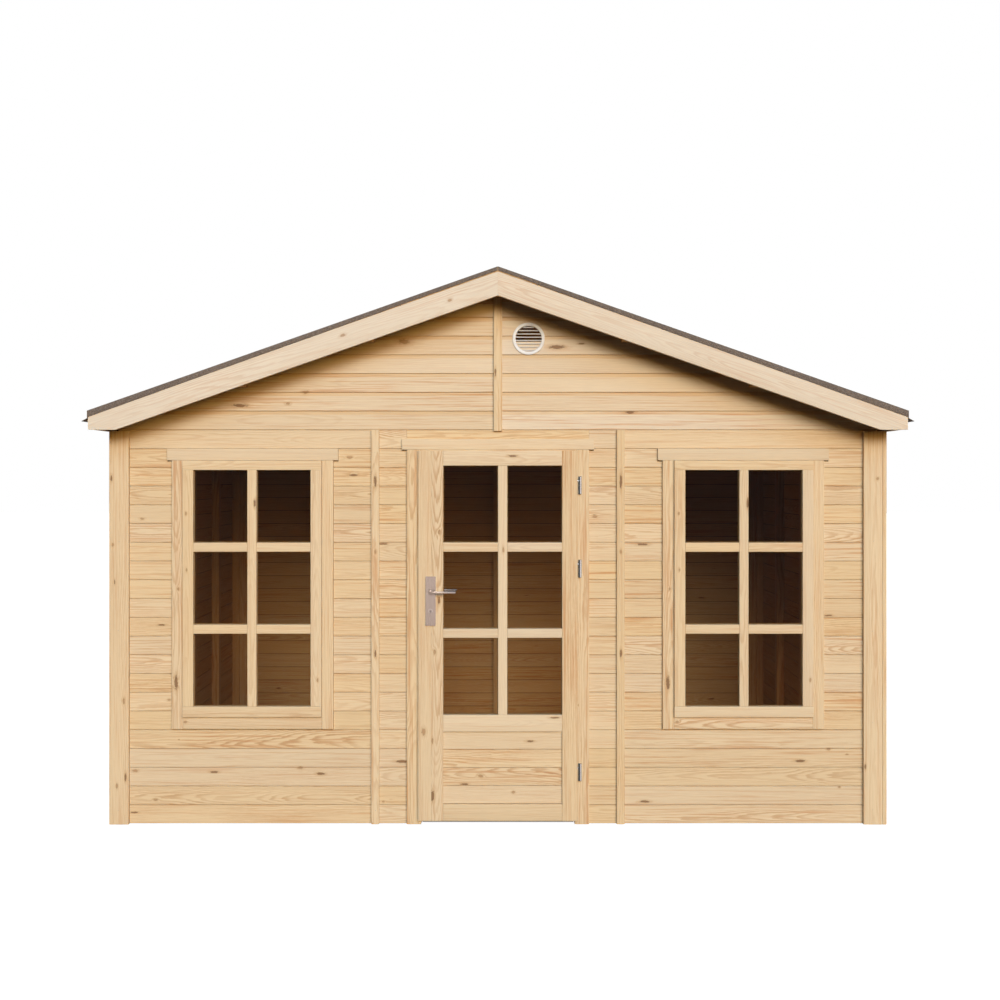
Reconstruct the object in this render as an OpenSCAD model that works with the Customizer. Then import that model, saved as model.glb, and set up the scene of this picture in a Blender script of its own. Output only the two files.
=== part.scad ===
// Wooden garden house: boarded wall panels on studs, a glazed door that swings out,
// two fixed windows and a felted gable roof with barge boards.
// Origin: centre of the footprint at ground level. X runs along the front, Y to the
// back, Z up. Sizes are in millimetres.

/* [Walls] */
// Width over the wall boards
wall_w = 3600; // [3500:20:4200]
// Depth over the wall boards
wall_d = 2875; // [2400:25:3600]
// Visible height of one wall board
board_pitch = 88; // [88:1:96]
// Number of boards in the height of a wall panel
board_rows = 21; // [21:1:24]
// Thickness of the wall boards
board_t = 19; // [16:1:28]
// Width of wall between the three modules of the front and each of its ends
end_margin = 75; // [60:5:110]
// Thickness of the floor boards
floor_t = 28; // [19:1:34]

/* [Framing] */
// Depth of the studs behind the boards
stud_t = 45; // [40:1:60]
// Width of a stud
stud_w = 60; // [40:1:66]
// Height of the bottom and top plates
plate_h = 42; // [30:1:42]
// Gap between two bars of one frame
bar_gap = 0.3; // [0.2:0.1:1]

/* [Trim] */
// Width of a corner board
corner_w = 92; // [70:1:110]
// Width of a corner board that is lapped by its neighbour
corner_lapped_w = 88; // [70:1:110]
// Thickness of the corner boards
corner_t = 20; // [14:1:25]
// Width of the strips over the panel joints
strip_w = 37; // [30:1:50]
// Thickness of the strips over the panel joints
strip_t = 16; // [10:1:22]
// Width of the strip down the middle of a gable
gable_strip_w = 40; // [30:1:50]

/* [Windows] */
// Number of wall boards under a window
boards_under_window = 5; // [4:1:7]
// Number of wall boards over a window's head
boards_over_window = 1; // [1:1:2]
// Gap under the window frame
window_gap = 6; // [1:1:10]
// Width of the window's sash
sash_w = 650; // [600:1:700]
// Width of the window frame's post that shows beside the sash
window_post = 53.5; // [40:0.5:70]
// Height of the window frame that shows under the sash
window_foot_h = 57; // [30:1:70]
// Height of the window frame's head board
window_head_h = 55; // [40:1:70]
// Gap between the sash and the head board
sash_gap = 1; // [0.5:0.5:2]
// Width of the sash's stiles
sash_stile = 51; // [40:1:65]
// Height of the sash's top rail
sash_top = 44; // [36:1:60]
// Height of the sash's bottom rail
sash_bottom = 51; // [36:1:70]

/* [Door] */
// Width of the door leaf
leaf_w = 744; // [700:1:800]
// Width of the door frame's post that shows beside the leaf
door_post = 55.5; // [40:0.5:70]
// Height of the door frame's head board
door_head_h = 50; // [40:1:70]
// Height of the wall over the door's head
over_door_h = 43; // [20:1:90]
// Height of the leaf's lower edge
leaf_z = 20; // [8:1:30]
// Thickness of the door leaf
leaf_t = 40; // [36:1:48]
// Width of the stile that carries the lock
lock_stile = 116; // [90:1:130]
// Width of the stile that carries the hinges
hinge_stile = 72; // [60:1:100]
// Height of the leaf's top rail
leaf_top = 70; // [50:1:90]
// Height of the rail under the glass
leaf_mid = 79; // [60:1:100]
// Height of the leaf's bottom rail
leaf_foot = 79; // [60:1:120]
// Height of the boarded panel
panel_h = 338; // [250:1:420]
// Thickness of the boarded panel
panel_t = 15; // [10:1:19]
// Gap round the door leaf
leaf_gap = 5; // [4:0.5:6]

/* [Frames and glass] */
// Distance that a head board's ears reach past its frame
ear = 22; // [12:1:26]
// Distance that door and window frames stand proud of the boards
frame_proud = 15; // [8:1:20]
// Depth of the door and window frames
frame_depth = 66; // [60:1:75]
// Thickness of the leaf's and sashes' lip in front of the frame
lip_t = 15; // [12:1:20]
// Distance that the lip laps over the frame
lip_lap = 18; // [12:1:22]
// Width of a glazing bar
glazing_bar = 43; // [30:1:50]
// Thickness of the glass
glass_t = 4; // [3:1:6]
// Depth of the glass behind the wood's front face
glass_depth = 15; // [10:1:20]
// Columns of panes
pane_cols = 2; // [1:1:3]
// Rows of panes
pane_rows = 3; // [2:1:4]

/* [Ironmongery] */
// Height of each hinge, from the lowest
hinge_z = [247, 1199, 1589];
// Diameter of a hinge barrel
hinge_d = 13; // [10:1:16]
// Diameter of the stems that hold the hinges in the wood
stem_d = 9; // [7:0.5:10]
// Length of a hinge barrel, both halves
hinge_h = 84; // [60:1:100]
// Diameter of a hinge pin
pin_d = 7; // [5:0.5:8]
// Distance of the hinge axis from the leaf's edge
hinge_out = 15; // [12:1:17]
// Height of the lever's axis
lever_z = 1094; // [950:1:1150]
// Length of the lever from its axis to its tip
lever_len = 118; // [90:1:130]
// Diameter of the lever
lever_d = 17; // [14:1:22]
// Diameter of the lever's neck
neck_d = 16; // [13:0.5:20]
// Distance of the lever's middle from the door's face
lever_out = 50; // [45:1:60]
// Diameter of the spindle that joins the two levers
spindle_d = 9; // [7:0.5:12]
// Room round the lever's neck inside the leaf
spindle_room = 2; // [1:0.5:3]
// Running clearance of journals and pins, on the radius
run_gap = 0.3; // [0.2:0.05:0.4]
// Width of the long handle plate
plate_w = 47; // [35:1:55]
// Length of the long handle plate
plate_len = 230; // [200:1:260]
// Thickness of the long handle plate
plate_t = 8; // [5:1:12]
// Radius of the handle plate's corners
plate_round = 4; // [2:0.5:8]
// Distance of the lock cylinder's barrel below the lever
cylinder_drop = 92; // [70:1:100]
// Diameter of the lock cylinder's barrel
cylinder_d = 17; // [15:0.5:18]
// Width of the lock cylinder's tail
cylinder_tail_w = 10; // [8:0.5:12]
// Height over the lock cylinder's barrel and tail
cylinder_h = 33; // [28:0.5:36]
// Distance that the lock cylinder stands out of its plates
cylinder_out = 3; // [1:0.5:5]

/* [Roof] */
// Pitch of the roof in degrees
roof_pitch = 19.35; // [16:0.05:24]
// Height of the gable panel at its ends
gable_end_h = 82; // [60:1:110]
// Thickness of the roof boards
roof_t = 18; // [15:1:24]
// Play between the roof boards and the timber that carries them
roof_bed = 0.1; // [0.05:0.05:0.3]
// Thickness of the felt
felt_t = 3; // [2:0.5:5]
// Distance that the roof reaches past the side walls' boards
eave_over = 66; // [60:1:120]
// Distance that the roof reaches past the front and back boards
verge_over = 200; // [120:5:260]
// Upright depth of the barge boards below the roof boards
barge_drop = 109; // [100:1:130]
// Thickness of barge boards and eave boards
barge_t = 19; // [15:1:25]
// Distance of the barge boards' level cut below the wall's top
barge_cut = 6; // [0:1:30]
// Distance of the eave boards' face behind the roof boards' end
eave_set = 16; // [8:1:20]
// Upright depth of the felt's fold over the verge at the ridge
flap_ridge = 19; // [15:1:25]
// Upright depth of the felt's fold over the verge at the eaves
flap_eave = 31; // [22:1:40]
// Upright depth of the felt's fold over the eaves
eave_fold = 33; // [25:1:45]
// Distance that the felt's drip flares out
flare_out = 26; // [15:1:35]
// Distance that the felt's drip falls as it flares out
flare_fall = 15; // [8:1:20]
// Width of a purlin
purlin_w = 45; // [38:1:60]
// Height of a purlin
purlin_h = 85; // [70:1:90]
// Purlins on each slope between the ridge and the wall
purlins_per_slope = 2; // [1:1:3]

/* [Vent] */
// Distance of the vent from the middle of the front
vent_x = 144; // [120:1:300]
// Height of the vent above the wall's top
vent_up = 428; // [250:1:430]
// Diameter of the vent's flange
vent_d = 152; // [120:1:160]
// Diameter of the vent's mouth
vent_mouth_d = 122; // [90:1:124]
// Wall of the vent's spigot with its fitting gap
vent_wall = 4; // [2:0.5:6]
// Thickness of the vent's flange
vent_flange_t = 6; // [4:1:9]
// Number of louvres
louvres = 8; // [6:1:10]
// Thickness of a louvre
louvre_t = 2; // [1.5:0.25:3]
// Slope of a louvre in degrees
louvre_tilt = 40; // [25:1:50]

/* [Hidden] */
$fn = 48;
wood = [0.87, 0.72, 0.53];
wood_dark = [0.78, 0.62, 0.43];
felt = [0.31, 0.28, 0.26];
steel = [0.72, 0.68, 0.64];
eps = 1;

half_w = wall_w / 2;
half_d = wall_d / 2;
module_w = (wall_w - 2 * end_margin) / 3;
wall_h = board_pitch * board_rows;
lining = board_t + stud_t;
room_w = half_w - lining;
room_d = half_d - lining;
frame_y = -half_d - frame_proud;
leaf_y = frame_y - leaf_gap - lip_t;
sash_y = frame_y - lip_t;

window_x = module_w;
window_w = sash_w + 2 * window_post;
window_z = boards_under_window * board_pitch + window_gap;
window_head_top = wall_h - boards_over_window * board_pitch;
window_head_z = window_head_top - window_head_h;
sash_z = window_z + window_foot_h;
sash_h = window_head_z - sash_gap - sash_z;
door_frame_w = leaf_w + 2 * door_post;
door_head_top = wall_h - over_door_h;
door_head_z = door_head_top - door_head_h;
leaf_h = door_head_z - leaf_gap - leaf_z;
hinge_x = leaf_w / 2 + hinge_out;
hinge_y = leaf_y + lip_t / 2;
lock_x = -leaf_w / 2 + lock_stile / 2;

roof_end = half_w + eave_over;
roof_y = half_d + verge_over;
cut_z = wall_h - barge_cut;
eave_x = roof_end - eave_set;
vent_z = wall_h + vent_up;
vent_bore = vent_mouth_d + 2 * vent_wall;
purlin_step = half_w / (purlins_per_slope + 1);
purlin_xs = [for (i = [-purlins_per_slope : purlins_per_slope]) i * purlin_step];

// Height of the timber under the roof boards, and of a layer of thickness t above it.
function under(x) = wall_h + gable_end_h + (half_w - abs(x)) * tan(roof_pitch);
function over(x, t) = under(x) + roof_bed + t / cos(roof_pitch);
function purlin_foot(c) = under(abs(c) + purlin_w / 2) - purlin_h;

// A bar between two corners.
module bar(x0, x1, y0, y1, z0, z1) {
    translate([x0, y0, z0]) cube([x1 - x0, y1 - y0, z1 - z0]);
}

// An outline in X and Z, run from y0 to y1.
module along_y(y0, y1) {
    translate([0, y1, 0]) rotate([90, 0, 0]) linear_extrude(y1 - y0) children();
}

// The same shape on the left and on the right, or at the front and at the back.
module both_sides() {
    children();
    mirror([1, 0, 0]) children();
}
module both_ends() {
    children();
    mirror([0, 1, 0]) children();
}

// ---- floor and walls ----

module floor() {
    color(wood_dark) bar(-room_w + bar_gap, room_w - bar_gap,
        -room_d + bar_gap, room_d - bar_gap, 0, floor_t);
}

// The wall beside the door, with the window's opening. It is drawn on the right.
module front_wall_side() {
    window_half = window_w / 2;
    difference() {
        bar(door_frame_w / 2, half_w - board_t, -half_d, -half_d + board_t, 0, wall_h);
        bar(window_x - window_half, window_x + window_half,
            -half_d - eps, -half_d + board_t + eps, window_z, window_head_top);
        bar(window_x - window_half - ear, window_x + window_half + ear,
            -half_d - eps, -half_d + board_t + eps, window_head_z, window_head_top);
        bar(door_frame_w / 2 - eps, door_frame_w / 2 + ear,
            -half_d - eps, -half_d + board_t + eps, door_head_z, door_head_top);
    }
}

module front_wall_right() {
    color(wood) front_wall_side();
}

module front_wall_left() {
    color(wood) mirror([1, 0, 0]) front_wall_side();
}

module front_wall_over_door() {
    color(wood) bar(-door_frame_w / 2, door_frame_w / 2,
        -half_d, -half_d + board_t, door_head_top, wall_h);
}

module side_wall() {
    color(wood) bar(half_w - board_t, half_w, -half_d, half_d, 0, wall_h);
}

module right_wall() {
    side_wall();
}

module left_wall() {
    mirror([1, 0, 0]) side_wall();
}

module back_wall() {
    color(wood) bar(-half_w + board_t, half_w - board_t, half_d - board_t, half_d, 0, wall_h);
}

module gable_outline() {
    polygon([[-half_w, wall_h], [half_w, wall_h], [half_w, under(half_w)],
        [0, under(0)], [-half_w, under(half_w)]]);
}

module gable(y0) {
    color(wood) along_y(y0, y0 + board_t) difference() {
        gable_outline();
        for (c = purlin_xs) purlin_outline(c, bar_gap, eps);
    }
}

module front_gable() {
    difference() {
        gable(-half_d);
        translate([vent_x, 0, vent_z]) rotate([90, 0, 0]) cylinder(h = half_d * 2, d = vent_bore);
    }
}

module back_gable() {
    gable(half_d - board_t);
}

// ---- studs and plates ----

// Upright studs from a list of their left edges, between the plates.
module studs(edges, y0) {
    for (x = edges)
        bar(x, x + stud_w, y0, y0 + stud_t, plate_h + bar_gap, wall_h - plate_h - bar_gap);
}

// The front's studs and plates beside the door, drawn on the right.
module front_framing_side() {
    y0 = -half_d + board_t;
    window_left = window_x - window_w / 2 - stud_w;
    window_right = window_x + window_w / 2;
    door_side = door_frame_w / 2;
    joint = module_w / 2;
    color(wood_dark) {
        bar(door_side, room_w, y0, y0 + stud_t, 0, plate_h);
        bar(door_side, room_w, y0, y0 + stud_t, wall_h - plate_h, wall_h);
        studs([joint + bar_gap, window_left, window_right, room_w - stud_w], y0);
        bar(door_side, joint, y0, y0 + stud_t,
            plate_h + bar_gap, wall_h - plate_h - bar_gap);
        bar(window_left + stud_w + bar_gap, window_right - bar_gap, y0, y0 + stud_t,
            window_z - plate_h, window_z);
    }
}

module front_framing_right() {
    front_framing_side();
}

module front_framing_left() {
    mirror([1, 0, 0]) front_framing_side();
}

// A side's studs and plates with the eaves beam on top, drawn on the right.
module side_framing() {
    end = half_d - board_t;
    x0 = room_w;
    x1 = half_w - board_t;
    color(wood_dark) {
        bar(x0, x1, -end, end, 0, plate_h);
        bar(x0, x1, -end, end, wall_h - plate_h, wall_h);
        both_ends() for (y = [bar_gap / 2, half_d / 2 - stud_w / 2, end - stud_w])
            bar(x0, x1, y, y + stud_w, plate_h + bar_gap, wall_h - plate_h - bar_gap);
        along_y(-end, end) polygon([[half_w - stud_t, wall_h + bar_gap], [half_w, wall_h + bar_gap],
            [half_w, under(half_w)], [half_w - stud_t, under(half_w - stud_t)]]);
    }
}

module right_framing() {
    side_framing();
}

module left_framing() {
    mirror([1, 0, 0]) side_framing();
}

module back_framing() {
    y0 = half_d - lining;
    joint = module_w / 2;
    color(wood_dark) {
        bar(-room_w, room_w, y0, y0 + stud_t, 0, plate_h);
        bar(-room_w, room_w, y0, y0 + stud_t, wall_h - plate_h, wall_h);
        studs([-stud_w / 2], y0);
        both_sides() studs([joint + bar_gap, joint - stud_w, module_w - stud_w / 2,
            room_w - stud_w], y0);
    }
}

// A plate along the foot of each gable and a stud under each purlin.
module gable_framing() {
    y0 = -half_d + board_t;
    foot = wall_h + bar_gap;
    color(wood_dark) both_ends() {
        bar(-half_w + stud_t + bar_gap, half_w - stud_t - bar_gap, y0, y0 + stud_t,
            foot, foot + plate_h);
        for (c = purlin_xs)
            bar(c - stud_w / 2, c + stud_w / 2, y0, y0 + stud_t,
                foot + plate_h + bar_gap, purlin_foot(c) - bar_gap);
    }
}

// ---- corner boards and cover strips ----

// A corner's two boards. The board along X laps the edge of the board along Y.
module corner_boards(w) {
    bar(half_w + corner_t - w, half_w + corner_t, -half_d - corner_t, -half_d, 0, cut_z);
    bar(half_w, half_w + corner_t, -half_d + bar_gap, -half_d + w - corner_t, 0, cut_z);
}

// The same corner with the board along Y lapping the other.
module corner_boards_side_lap() {
    bar(half_w - corner_lapped_w, half_w - bar_gap, -half_d - corner_t, -half_d, 0, cut_z);
    bar(half_w, half_w + corner_t, -half_d - corner_t, -half_d + corner_w - corner_t, 0, cut_z);
}

module corner_boards_front() {
    color(wood) {
        mirror([1, 0, 0]) corner_boards(corner_w);
        corner_boards_side_lap();
    }
}

module corner_boards_back() {
    color(wood) mirror([0, 1, 0]) both_sides() corner_boards(corner_w);
}

// Strips over the two panel joints and down the middle of a gable, drawn at the front.
module cover_strips(y0) {
    both_sides() bar(module_w / 2 - strip_w / 2, module_w / 2 + strip_w / 2,
        y0, y0 + strip_t, 0, wall_h - bar_gap);
    bar(-gable_strip_w / 2, gable_strip_w / 2, y0, y0 + strip_t,
        wall_h - barge_cut, purlin_foot(0) - bar_gap);
}

module cover_strips_front() {
    color(wood) cover_strips(-half_d - strip_t);
}

module cover_strips_back() {
    color(wood) cover_strips(half_d);
}

module cover_strips_sides() {
    color(wood) both_sides() bar(half_w, half_w + strip_t, -strip_w / 2, strip_w / 2, 0, wall_h);
}

// ---- glazed frames, drawn as outlines in X and Z about the middle of the foot ----

// The openings for the panes in a field of the given width and height.
function pane_w(field_w) = (field_w - (pane_cols - 1) * glazing_bar) / pane_cols;
function pane_h(field_h) = (field_h - (pane_rows - 1) * glazing_bar) / pane_rows;

module panes(field_w, field_h) {
    w = pane_w(field_w);
    h = pane_h(field_h);
    for (col = [0 : pane_cols - 1])
        for (row = [0 : pane_rows - 1])
            translate([col * (w + glazing_bar), row * (h + glazing_bar)]) square([w, h]);
}

// ---- windows, drawn on the right ----

module window_frame() {
    half = window_w / 2;
    inner = sash_w / 2 - lip_lap;
    back = frame_y + frame_depth;
    translate([window_x, 0, 0]) {
        along_y(frame_y, back) difference() {
            translate([-half, window_z]) square([window_w, window_head_top - window_z]);
            translate([-inner, sash_z + lip_lap])
                square([2 * inner, window_head_z - sash_z - lip_lap]);
        }
        both_sides() bar(half - eps, half + ear, frame_y, -half_d + board_t,
            window_head_z, window_head_top);
    }
}

module window_sash() {
    field_w = sash_w - 2 * sash_stile;
    field_h = sash_h - sash_top - sash_bottom;
    translate([window_x, 0, sash_z]) {
        along_y(sash_y, frame_y) difference() {
            translate([-sash_w / 2, 0]) square([sash_w, sash_h]);
            translate([-field_w / 2, sash_bottom]) panes(field_w, field_h);
        }
        along_y(frame_y, sash_y + leaf_t) difference() {
            translate([-sash_w / 2 + lip_lap + bar_gap, lip_lap + bar_gap])
                square([sash_w - 2 * (lip_lap + bar_gap), sash_h - lip_lap - bar_gap]);
            translate([-field_w / 2, sash_bottom]) panes(field_w, field_h);
        }
    }
}

module window_glass() {
    field_w = sash_w - 2 * sash_stile;
    field_h = sash_h - sash_top - sash_bottom;
    translate([window_x, 0, sash_z])
        along_y(sash_y + glass_depth, sash_y + glass_depth + glass_t)
            translate([-field_w / 2, sash_bottom]) panes(field_w, field_h);
}

module window_frame_right() {
    color(wood) window_frame();
}

module window_frame_left() {
    color(wood) mirror([1, 0, 0]) window_frame();
}

module window_sash_right() {
    color(wood) window_sash();
}

module window_sash_left() {
    color(wood) mirror([1, 0, 0]) window_sash();
}

module window_glass_right() {
    color([0.6, 0.7, 0.75, 0.4]) window_glass();
}

module window_glass_left() {
    color([0.6, 0.7, 0.75, 0.4]) mirror([1, 0, 0]) window_glass();
}

// ---- door ----

// Posts and head. A stop behind the leaf closes the gap under the head.
module door_frame() {
    half = door_frame_w / 2;
    inner = leaf_w / 2 - lip_lap + leaf_gap;
    back = frame_y + frame_depth;
    stop_y = leaf_y + leaf_t + leaf_gap;
    color(wood) {
        both_sides() {
            bar(inner, half, frame_y, back, 0, door_head_top);
            bar(half - eps, half + ear, frame_y, -half_d + board_t, door_head_z, door_head_top);
        }
        bar(-inner - eps, inner + eps, frame_y, back, door_head_z, door_head_top);
        bar(-inner - eps, inner + eps, stop_y, back, door_head_z - leaf_gap - lip_lap, door_head_z + eps);
    }
}

leaf_field_w = leaf_w - lock_stile - hinge_stile;
leaf_field_z = leaf_foot + panel_h + leaf_mid;
leaf_field_h = leaf_h - leaf_top - leaf_field_z;

// What is cut out of the leaf: the panes above and the boarded panel below.
module leaf_fields() {
    translate([-leaf_w / 2 + lock_stile, 0]) {
        translate([0, leaf_field_z]) panes(leaf_field_w, leaf_field_h);
        translate([0, leaf_foot]) square([leaf_field_w, panel_h]);
    }
}

// The leaf's front lip laps over the posts; the thicker part sits between them.
module door_leaf() {
    body = leaf_w - 2 * lip_lap;
    color(wood) difference() {
        translate([0, 0, leaf_z]) {
            along_y(leaf_y, leaf_y + lip_t) difference() {
                translate([-leaf_w / 2, 0]) square([leaf_w, leaf_h]);
                leaf_fields();
            }
            along_y(leaf_y + lip_t, leaf_y + leaf_t) difference() {
                translate([-body / 2, 0]) square([body, leaf_h]);
                leaf_fields();
            }
        }
        translate([lock_x, leaf_y + leaf_t + eps, lever_z]) rotate([90, 0, 0])
            cylinder(h = leaf_t + 2 * eps, d = lock_bore);
        translate([lock_x, 0, cylinder_z]) along_y(leaf_y - eps, leaf_y + leaf_t + eps)
            cylinder_outline(run_gap);
    }
}

module door_panel() {
    panel_y = leaf_y + (leaf_t - panel_t) / 2;
    color(wood) translate([-leaf_w / 2 + lock_stile, 0, leaf_z + leaf_foot])
        along_y(panel_y, panel_y + panel_t) square([leaf_field_w, panel_h]);
}

module door_glass() {
    color([0.6, 0.7, 0.75, 0.4])
        translate([-leaf_w / 2 + lock_stile, 0, leaf_z + leaf_field_z])
            along_y(leaf_y + glass_depth, leaf_y + glass_depth + glass_t)
                panes(leaf_field_w, leaf_field_h);
}

// ---- hinges ----

hinge_half = hinge_h / 2;

// The lower half of each barrel with its pin and the stem that goes into the post.
module hinge_pins() {
    color(steel) for (z = hinge_z) translate([hinge_x, hinge_y, z]) {
        translate([0, 0, -hinge_half]) cylinder(h = hinge_half - bar_gap, d = hinge_d);
        cylinder(h = 2 * hinge_half / 3, d = pin_d);
        translate([0, 0, -eps]) cylinder(h = 2 * eps, d = pin_d);
        translate([0, 0, -hinge_half / 2]) rotate([-90, 0, 0])
            cylinder(h = frame_y - hinge_y, d = stem_d);
    }
}

// The upper half of each barrel, bored for the pin, with the stem into the leaf.
module hinge_caps() {
    color(steel) for (z = hinge_z) translate([hinge_x, hinge_y, z]) difference() {
        union() {
            cylinder(h = hinge_half, d = hinge_d);
            translate([0, 0, hinge_half / 2]) rotate([0, -90, 0])
                cylinder(h = hinge_out, d = stem_d);
        }
        translate([0, 0, -eps])
            cylinder(h = 2 * hinge_half / 3 + 2 * eps, d = pin_d + 2 * run_gap);
    }
}

// ---- handle ----

lock_bore = neck_d + 2 * spindle_room;
cylinder_z = lever_z - cylinder_drop;
plate_mid = lever_z - cylinder_drop / 2;

// The lock cylinder's outline: a round barrel with a tail below it. Grow widens it.
module cylinder_outline(grow) {
    tail_r = cylinder_tail_w / 2 + grow;
    tail_end = cylinder_h - cylinder_d / 2 - cylinder_tail_w / 2;
    circle(d = cylinder_d + 2 * grow);
    translate([-tail_r, -tail_end]) square([2 * tail_r, tail_end]);
    translate([0, -tail_end]) circle(tail_r);
}

// A long plate with rounded corners, bored for the lever's neck and the cylinder.
module handle_plate(y0) {
    straight_w = plate_w - 2 * plate_round;
    straight_len = plate_len - 2 * plate_round;
    translate([lock_x, 0, plate_mid]) along_y(y0, y0 + plate_t) difference() {
        union() {
            translate([-straight_w / 2, -plate_len / 2]) square([straight_w, plate_len]);
            translate([-plate_w / 2, -straight_len / 2]) square([plate_w, straight_len]);
            for (x = [-1, 1])
                for (z = [-1, 1])
                    translate([x * straight_w / 2, z * straight_len / 2]) circle(plate_round);
        }
        translate([0, lever_z - plate_mid]) circle(d = neck_d + 2 * run_gap);
        translate([0, cylinder_z - plate_mid]) cylinder_outline(run_gap);
    }
}

module handle_plates() {
    color(steel) {
        handle_plate(leaf_y - plate_t);
        handle_plate(leaf_y + leaf_t);
    }
}

module lock_cylinder() {
    out = plate_t + cylinder_out;
    color(steel) translate([lock_x, 0, cylinder_z])
        along_y(leaf_y - out, leaf_y + leaf_t + out) cylinder_outline(0);
}

// One side's lever: a neck out of the plate and a grip with a round end towards the hinges.
module lever_side() {
    rotate([90, 0, 0]) cylinder(h = lever_out + lever_d / 2, d = neck_d);
    translate([0, -lever_out, 0]) {
        rotate([0, 90, 0]) cylinder(h = lever_len - lever_d / 2, d = lever_d);
        translate([lever_len - lever_d / 2, 0, 0]) sphere(d = lever_d);
    }
}

module door_lever() {
    color(steel) translate([lock_x, 0, lever_z]) {
        translate([0, leaf_y, 0]) lever_side();
        translate([0, leaf_y + leaf_t, 0]) mirror([0, 1, 0]) lever_side();
        translate([0, leaf_y + leaf_t + eps, 0]) rotate([90, 0, 0])
            cylinder(h = leaf_t + 2 * eps, d = spindle_d);
    }
}

// ---- roof ----

// A purlin's section: its top follows the slope, and grow widens it to make its notch.
module purlin_outline(c, grow, above) {
    half = purlin_w / 2 + grow;
    foot = purlin_foot(c) - grow;
    crown = c == 0 ? [[0, under(0) + above]] : [];
    polygon(concat([[c - half, foot], [c + half, foot], [c + half, under(c + half) + above]],
        crown, [[c - half, under(c - half) + above]]));
}

module purlins() {
    reach = roof_y - barge_t;
    color(wood_dark) along_y(-reach, reach)
        for (c = purlin_xs) purlin_outline(c, 0, 0);
}

module slope_boards() {
    color(wood_dark) along_y(-roof_y, roof_y)
        polygon([[0, over(0, 0)], [roof_end, over(roof_end, 0)],
            [roof_end, over(roof_end, roof_t)], [0, over(0, roof_t)]]);
}

module roof_boards_right() {
    slope_boards();
}

module roof_boards_left() {
    mirror([1, 0, 0]) slope_boards();
}

// One barge board: square to the ridge, with a level cut at the eaves.
module barge_board() {
    cut_x = half_w - (cut_z + barge_drop - wall_h - gable_end_h) / tan(roof_pitch);
    along_y(-roof_y, -roof_y + barge_t)
        polygon([[bar_gap / 2, under(0) - barge_drop], [cut_x, cut_z], [roof_end, cut_z],
            [roof_end, under(roof_end)], [bar_gap / 2, under(bar_gap / 2)]]);
}

module barge_boards_front() {
    color(wood) both_sides() barge_board();
}

module barge_boards_back() {
    color(wood) mirror([0, 1, 0]) both_sides() barge_board();
}

module eave_boards() {
    reach = roof_y - barge_t;
    color(wood) both_sides() along_y(-reach, reach)
        polygon([[eave_x - barge_t, cut_z], [eave_x, cut_z], [eave_x, under(eave_x)],
            [eave_x - barge_t, under(eave_x - barge_t)]]);
}

// The felt: a sheet on the slope that folds down over the eaves and flares into a drip,
// with a flap folded over each verge that deepens towards the eaves.
module slope_felt() {
    top = roof_t + felt_t;
    out = roof_end + felt_t;
    fold_z = over(out, top) - eave_fold;
    color(felt) {
        along_y(-roof_y, roof_y) polygon([[0, over(0, roof_t)], [roof_end, over(roof_end, roof_t)],
            [roof_end, fold_z - felt_t], [out + flare_out - felt_t / 2, fold_z - flare_fall - felt_t],
            [out + flare_out, fold_z - flare_fall], [out, fold_z],
            [out, over(out, top)], [0, over(0, top)]]);
        both_ends() along_y(-roof_y - felt_t, -roof_y)
            polygon([[0, over(0, top)], [out, over(out, top)], [out, over(out, top) - flap_eave],
                [0, over(0, top) - flap_ridge]]);
    }
}

module roof_felt_right() {
    slope_felt();
}

module roof_felt_left() {
    mirror([1, 0, 0]) slope_felt();
}

// ---- vent ----

// A flange with a spigot through the gable and sloping louvres across the mouth.
module gable_vent() {
    spigot = board_t;
    pitch = vent_mouth_d / louvres;
    blade = pitch / sin(louvre_tilt) * 0.75;
    color("white") translate([vent_x, -half_d, vent_z]) rotate([90, 0, 0]) {
        rotate_extrude() polygon([[vent_mouth_d / 2, -spigot], [vent_bore / 2 - bar_gap, -spigot],
            [vent_bore / 2 - bar_gap, 0], [vent_d / 2, 0], [vent_d / 2, vent_flange_t / 2],
            [vent_d / 2 - vent_flange_t / 2, vent_flange_t], [vent_mouth_d / 2, vent_flange_t]]);
        intersection() {
            translate([0, 0, -spigot]) cylinder(h = spigot + vent_flange_t, d = vent_mouth_d + 1);
            for (i = [0 : louvres - 1])
                translate([0, (i + 0.5) * pitch - vent_mouth_d / 2, vent_flange_t / 2 - pitch / 2])
                    rotate([-louvre_tilt, 0, 0])
                        cube([vent_mouth_d + 2 * eps, blade, louvre_t], center = true);
        }
    }
}

floor();
front_wall_left();
front_wall_right();
front_wall_over_door();
left_wall();
right_wall();
back_wall();
front_gable();
back_gable();
front_framing_left();
front_framing_right();
left_framing();
right_framing();
back_framing();
gable_framing();
corner_boards_front();
corner_boards_back();
cover_strips_front();
cover_strips_back();
cover_strips_sides();
window_frame_left();
window_sash_left();
window_glass_left();
window_frame_right();
window_sash_right();
window_glass_right();
door_frame();
door_leaf();
door_panel();
door_glass();
hinge_pins();
hinge_caps();
handle_plates();
lock_cylinder();
door_lever();
purlins();
roof_boards_left();
roof_boards_right();
barge_boards_front();
barge_boards_back();
eave_boards();
roof_felt_left();
roof_felt_right();
gable_vent();
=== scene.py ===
import math

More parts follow.
